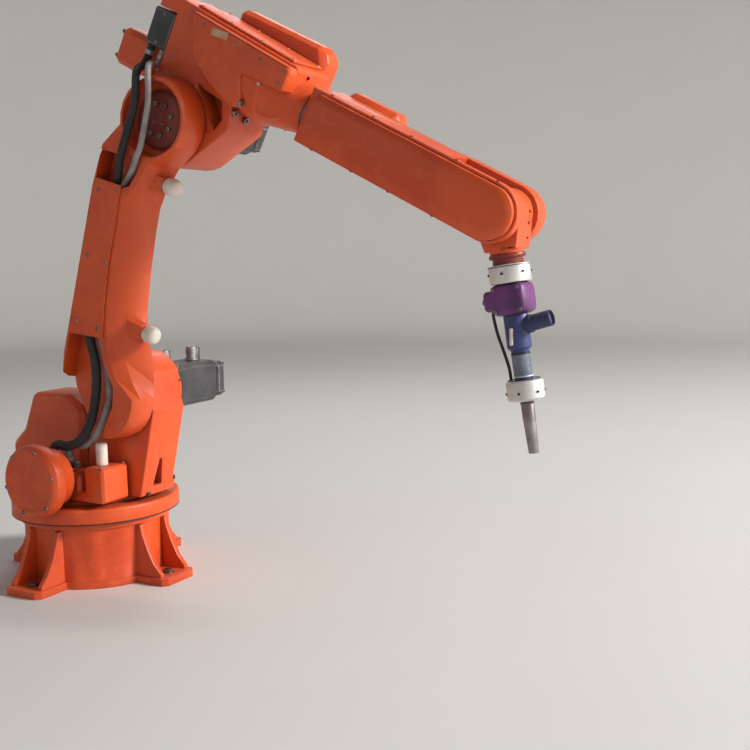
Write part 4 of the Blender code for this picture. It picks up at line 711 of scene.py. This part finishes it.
def ring(name, shape, spots, aims, local, piece, material):
    scattered(name, revolved(ringShapes[shape], 32), spots, aims, local, piece, material)


ring("shoulder_motor_plugs", "plug", [(0.154, y, 0.56) for y in (0.108, 0.2168)], up, worldFrame,
    "shoulder_motor", motorGrey)
ring("elbow_motor_plugs", "plug", [(0, y, 0.08) for y in (0.104, 0.1872)], up, elbowFrame, "elbow_motor",
    motorGrey)
capSpots = [boxOut * 0.278 + boxAcross * side * 0.029 + np.array((0, 0, 0.0825)) for side in (-1, 1)]
ring("socket_caps", "socketCap", capSpots, boxOut, worldFrame, "connector_box", motorBlack)
ring("grease_nipples", "nipple", [(0.201, -0.08, 0.172)], near, elbowFrame, "elbow_casting", paleAlloy)
ring("sensor_knob", "knob", [(-0.058, 0, -0.1717)], behind, toolFrame, "collision_sensor", holderPlastic)

# Seams, thin dark cords half sunk in the surface: (body, local frame, radius, points)
# dark sealant for the seams, also used as painted shade in the gear flange's slots
seamAndShadeBlack = makePlain("seamSealant", (0.020, 0.012, 0.010), (0.035, 0.018, 0.014), (0.6, 0.8),
    bumpStrength=0.05)
seams = {
    "belt_cover_seam": ("forearm", rollFrame, 0.0011, [
        (0.372, -0.0662, 0.0537), (0.55, -0.0662, 0.0537), (0.74, -0.0662, 0.0537), (0.8006, -0.0662, 0.0537),
        (0.835, -0.0662, 0.041), (0.8542, -0.0662, 0), (0.835, -0.0662, -0.041), (0.8006, -0.0662, -0.0537),
        (0.74, -0.0662, -0.0537), (0.55, -0.0662, -0.0537), (0.372, -0.0662, -0.0537)]),
    "elbow_top_seam": ("elbow", elbowFrame, 0.0009, [
        (-0.024, -0.0832, 0.2452), (0.06, -0.0832, 0.2409), (0.16, -0.0832, 0.2357),
        (0.26, -0.0832, 0.2305)]),
}
for name, (body, local, radius, route) in seams.items():
    path, _ = smoothed(route, 80)
    finish(gridSurface(name, swept(path, radius, 8), local), seamAndShadeBlack, body)


def turnedRing(name, radius, height, thick, centre, axis, local, body, material):
    # a round bead on a circle: centre + (radius + t cos a) out + (height + t sin a) along the axis
    around = np.linspace(0, 2 * np.pi, 96, endpoint=False)[None, :]
    a = np.linspace(0, 2 * np.pi, 9)[:, None]
    out = radius + thick * np.cos(a) + 0 * around
    along = height + thick * np.sin(a) + 0 * around
    x, y = out * np.cos(around), out * np.sin(around)
    grid = np.stack({"x": (along, x, y), "y": (x, along, y), "z": (x, y, along)}[axis], -1) + np.array(centre)
    finish(gridSurface(name, grid, local), material, body)


turnedRing("elbow_disc_ring", 0.0672, -0.0935, 0.0012, (0, 0, armLength), "y", armFrame, "lower_arm",
    orangeEdge)
turnedRing("table_seam", 0.2082, 0.1668, 0.0019, (0, 0, 0), "z", worldFrame, "turret", seamAndShadeBlack)
turnedRing("roll_flange_seal", 0.0545, 0.3245, 0.0012, (0, 0, 0), "x", rollFrame, "elbow", seamAndShadeBlack)
turnedRing("tool_flange_ring", 0.0415, -0.106, 0.0010, (0, 0, 0), "z", toolFrame, "tool", seamAndShadeBlack)
turnedRing("neck_ring_high", 0.0192, -0.282, 0.0013, (0, 0, 0), "z", toolFrame, "tool", boltBlack)
turnedRing("neck_ring_low", 0.0192, -0.328, 0.0016, (0, 0, 0), "z", toolFrame, "tool", paleAlloy)
turnedRing("collar_seal", 0.0315, -0.3352, 0.0022, (0, 0, 0), "z", toolFrame, "tool", boltBlack)
turnedRing("nozzle_ring", 0.0138, -0.383, 0.0012, (0, 0, 0), "z", toolFrame, "tool", nozzleMetal)
turnedRing("nozzle_bead", 0.0134, -0.4105, 0.0008, (0, 0, 0), "z", toolFrame, "tool", nozzleMetal)


def block(name, size, edge, spots, aims, local, piece, material, turn=0.0):
    scattered(name, boxShape(*size, edge), spots, aims, local, piece, material, turn)


block("bare_plate", (0.045, 0.016, 0.0008), 0.0003, (0.067, -0.084, 0.2285), near, elbowFrame,
    "elbow_casting", platePale, 1.2)
# painted shade: thin dark blocks on the gear flange stand for the shade inside its slots
slotAims = [(math.cos(a), 0, math.sin(a)) for a in np.radians(np.arange(14) * 25.7 - 2)]
block("gear_slots", (0.013, 0.0045, 0.0012), 0.0004,
    [(0.154 + 0.1 * x, -0.058, 0.473 + 0.1 * z) for x, _, z in slotAims], slotAims, worldFrame,
    "shoulder_gear_flange", seamAndShadeBlack)
block("torch_clip", (0.006, 0.034, 0.006), 0.0012, (-0.004, -0.026, -0.246), near, toolFrame, "torch_neck",
    nylonWhite, math.pi / 2)
print("fittings made")

# Torch neck sleeve, a lighter tube over the neck
sleeveGrey = makePlain("sleeveGreyBlue", (0.16, 0.19, 0.25), (0.10, 0.12, 0.17), (0.4, 0.6), 22.0)
neckValues = {"radius": 0.0192, "top": -0.284, "low": -0.3262, "groove": 0.0007, "pitch": 0.0045, "steps": 40}


def makeSleeve(values):
    # radius = r - groove . (0.5 + 0.5 cos(2 pi z / pitch))^6
    z = np.linspace(values["top"], values["low"], 60)
    dip = (0.5 + 0.5 * np.cos(2 * np.pi * z / values["pitch"])) ** 6
    radius = values["radius"] - values["groove"] * dip
    angle = np.linspace(0, 2 * np.pi, values["steps"], endpoint=False)
    grid = ringGrid(radius, angle, z)
    ends = [np.tile((0, 0, z[k]), (1, values["steps"], 1)) for k in (0, -1)]
    grid = np.concatenate((ends[0], grid, ends[1]))
    finish(gridSurface("neck_sleeve", grid, toolFrame), sleeveGrey, "tool")


makeSleeve(neckValues)

# Hoses: the same routes as the CAD tubes, with a fine wound groove, and a nut at each fitting
hoseValues = {
    "shoulder_hose_black": {
        "radius": 0.0115, "pitch": 0.0045, "groove": 0.0006, "material": rubberBlack,
        "slot": "black_rubber", "joint": "shoulder",
        "route": [
            (-0.1, -0.1035, 0.25), (-0.1, -0.1035, 0.19), (-0.092, -0.1075, 0.145),
            (-0.07, -0.1145, 0.113), (-0.051, -0.1145, 0.083), (-0.034, -0.1145, 0.04),
            (-0.025, -0.1145, -0.02), (-0.0245, -0.1185, -0.078), (-0.033, -0.133, -0.123),
            (-0.057, -0.1445, -0.1455), (-0.085, -0.146, -0.152), (-0.0989, -0.146, -0.1685),
            (-0.0891, -0.146, -0.2004)],
    },
    "shoulder_hose_grey": {
        "radius": 0.009, "pitch": 0.0038, "groove": 0.0004, "material": hoseGrey,
        "slot": "grey_hose", "joint": "shoulder",
        "route": [
            (-0.074, -0.1035, 0.25), (-0.074, -0.1035, 0.19), (-0.0695, -0.1, 0.153),
            (-0.055, -0.096, 0.12), (-0.036, -0.0925, 0.075), (-0.01, -0.0925, 0.0226),
            (0.0, -0.0935, -0.008), (-0.001, -0.098, -0.052), (-0.009, -0.106, -0.1),
            (-0.027, -0.1135, -0.136), (-0.0575, -0.118, -0.146), (-0.0777, -0.118, -0.1625),
            (-0.068, -0.118, -0.1941)],
    },
    "elbow_hose_black": {
        "radius": 0.009, "pitch": 0.004, "groove": 0.0005, "material": rubberBlack,
        "slot": "black_rubber", "joint": "elbow",
        "route": [
            (-0.1079, -0.044, 0.8184), (-0.1129, -0.044, 0.7922), (-0.101, -0.068, 0.77),
            (-0.078, -0.107, 0.762), (-0.053, -0.1395, 0.746), (-0.041, -0.1415, 0.69),
            (-0.0475, -0.1415, 0.63), (-0.056, -0.14, 0.576), (-0.0645, -0.13, 0.542),
            (-0.077, -0.1125, 0.508), (-0.095, -0.1035, 0.475), (-0.108, -0.1035, 0.43)],
    },
    "elbow_hose_grey": {
        "radius": 0.007, "pitch": 0.0034, "groove": 0.0003, "material": hoseGrey,
        "slot": "grey_hose", "joint": "elbow",
        "route": [
            (-0.0736, -0.044, 0.8118), (-0.0786, -0.044, 0.7856), (-0.07, -0.067, 0.774),
            (-0.05, -0.105, 0.778), (-0.024, -0.137, 0.763), (-0.0065, -0.139, 0.7),
            (-0.0045, -0.139, 0.65), (-0.0055, -0.1385, 0.6), (-0.013, -0.137, 0.574),
            (-0.0265, -0.127, 0.543), (-0.048, -0.1115, 0.518), (-0.07, -0.1035, 0.482),
            (-0.084, -0.1035, 0.43)],
    },
}
# How far from the hose's end its nut starts, by the joint it sits at, and the nut's length
nutStarts = {"shoulder": 0.014, "elbow": 0.012}
nutLength = 0.011
hoseSteps = 18


def nut(name, at, along, radius, length, body):
    # a hexagonal nut with a domed collar round a hose end
    rows = ((0, length), (radius * 1.04, length), (radius * 1.14, length - 0.001),
            (radius * 1.16, length * 0.62), (radius * 1.18, length * 0.6, 1),
            (radius * 1.18, length * 0.1, 1),
            (radius * 1.14, 0), (0, 0))
    points = revolved(rows)
    points = (points.reshape(-1, 3) @ aimed(along, 0.2).T + at).reshape(points.shape)
    finish(gridSurface(name, points, armFrame), motorGrey, body)


def makeHose(name, values):
    # radius = r - groove . (0.5 + 0.5 cos(2 pi s / pitch + angle))^4 along the length s
    length = smoothed(values["route"], 3)[1][-1]
    path, far = smoothed(values["route"], int(length / values["pitch"] * 5))
    angle = np.linspace(0, 2 * np.pi, hoseSteps, endpoint=False)
    wave = 0.5 + 0.5 * np.cos(2 * np.pi * far[:, None] / values["pitch"] + angle[None, :])
    radius = values["radius"] - values["groove"] * wave**4
    made = gridSurface(name + "_wound", swept(path, radius, hoseSteps), armFrame)
    made.data.materials.append(values["material"])
    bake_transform(made)
    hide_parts(name)
    # the nut is at the route's first end on the elbow and at its last end on the turret
    if values["joint"] == "elbow":
        spot, step, body = path[0], path[1] - path[0], "elbow"
    else:
        spot, step, body = path[-1], path[-2] - path[-1], "turret"
    along = step / np.linalg.norm(step)
    nut(name + "_nut", spot + along * nutStarts[values["joint"]], along, values["radius"], nutLength, body)


for name, values in hoseValues.items():
    makeHose(name, values)
gasHose = frame["nodes"]["gas_hose"].data
gasHose.materials.clear()
gasHose.materials.append(rubberBlack)
print("hoses made")

# Floor, light and camera

stageValues = {"floorColour": (0.72, 0.71, 0.69), "floorOther": (0.69, 0.68, 0.665), "floorRough": 0.85,
               "worldColour": (0.93, 0.95, 1.0), "worldStrength": 0.19, "flat": 7.0, "outer": 16.0,
                   "rise": 16.0}


def makeFloor(values):
    # a wide bowl: flat out to the flat radius, then height = rise . s^2 . (3 - 2 s)
    flat, outer = values["flat"], values["outer"]
    radius = np.concatenate(((0,), np.linspace(1, flat, 8), np.linspace(flat, outer, 40)[1:]))
    s = np.clip((radius - flat) / (outer - flat), 0, 1)
    angle = np.linspace(0, 2 * np.pi, 96, endpoint=False)
    height = values["rise"] * s * s * (3 - 2 * s)
    points = ringGrid(radius, angle, height)
    made = gridSurface("studio_floor", points, worldFrame, turn=False)
    material, tree, shader = newMaterial("studioFloor")
    tones = noise(tree, objectCoords(tree), 2.0, 3.0)
    tone = mixColour(tree, tones, rgba(values["floorColour"]), rgba(values["floorOther"]))
    tree.links.new(tone, shader.inputs["Base Color"])
    shader.inputs["Roughness"].default_value = values["floorRough"]
    made.data.materials.append(material)


makeFloor(stageValues)
scene = bpy.context.scene
scene.view_settings.view_transform = "Standard"
world = bpy.data.worlds.new("studioWorld")
scene.world = world
world.use_nodes = True
background = world.node_tree.nodes["Background"]
background.inputs["Color"].default_value = rgba(stageValues["worldColour"])
background.inputs["Strength"].default_value = stageValues["worldStrength"]


def areaLight(name, place, target, size, power, colour):
    data = bpy.data.lights.new(name, "AREA")
    data.shape = "DISK"
    data.size = size
    data.energy = power
    data.color = colour
    made = bpy.data.objects.new(name, data)
    made.location = place
    made.rotation_euler = (Vector(target) - Vector(place)).to_track_quat("-Z", "Y").to_euler()
    scene.collection.objects.link(made)


areaLight("keyLight", (8.2, 2.0, 4.0), (0.4, 0, 0.7), 1.9, 980, (1.0, 0.97, 0.93))
areaLight("fillLight", (-1.5, -4.0, 2.6), (0.3, 0, 0.7), 2.4, 6, (0.95, 0.97, 1.0))
areaLight("rimLight", (-1.2, 3.0, 3.0), (0.4, 0, 0.8), 1.8, 20, (1.0, 1.0, 1.0))

cameraValues = {"place": (1.933, -1.965, 0.802), "yaw": 0.5100, "pitch": 0.1170, "roll": 0.0225,
    "focal": 1046.5,
                "photoWidth": 750, "sensor": 36.0, "nearest": 0.05}


def makeCamera(values):
    # forward and up from yaw, pitch and roll; lens = focal pixels / photo's width . sensor's width
    yaw, pitch, roll = values["yaw"], values["pitch"], values["roll"]
    level = Vector((-math.sin(yaw), math.cos(yaw), 0))
    right = level.cross(Vector((0, 0, 1)))
    forward = level * math.cos(pitch) - Vector((0, 0, 1)) * math.sin(pitch)
    up = right.cross(forward)
    right, up = (right * math.cos(roll) - up * math.sin(roll), right * math.sin(roll) + up * math.cos(roll))
    data = bpy.data.cameras.new("photoCamera")
    data.sensor_width = values["sensor"]
    data.lens = values["focal"] / values["photoWidth"] * values["sensor"]
    data.clip_start = values["nearest"]
    made = bpy.data.objects.new("photoCamera", data)
    turn = Matrix((right, up, -forward)).transposed().to_4x4()
    made.matrix_world = Matrix.Translation(values["place"]) @ turn
    scene.collection.objects.link(made)
    scene.camera = made


makeCamera(cameraValues)
print("stage made")
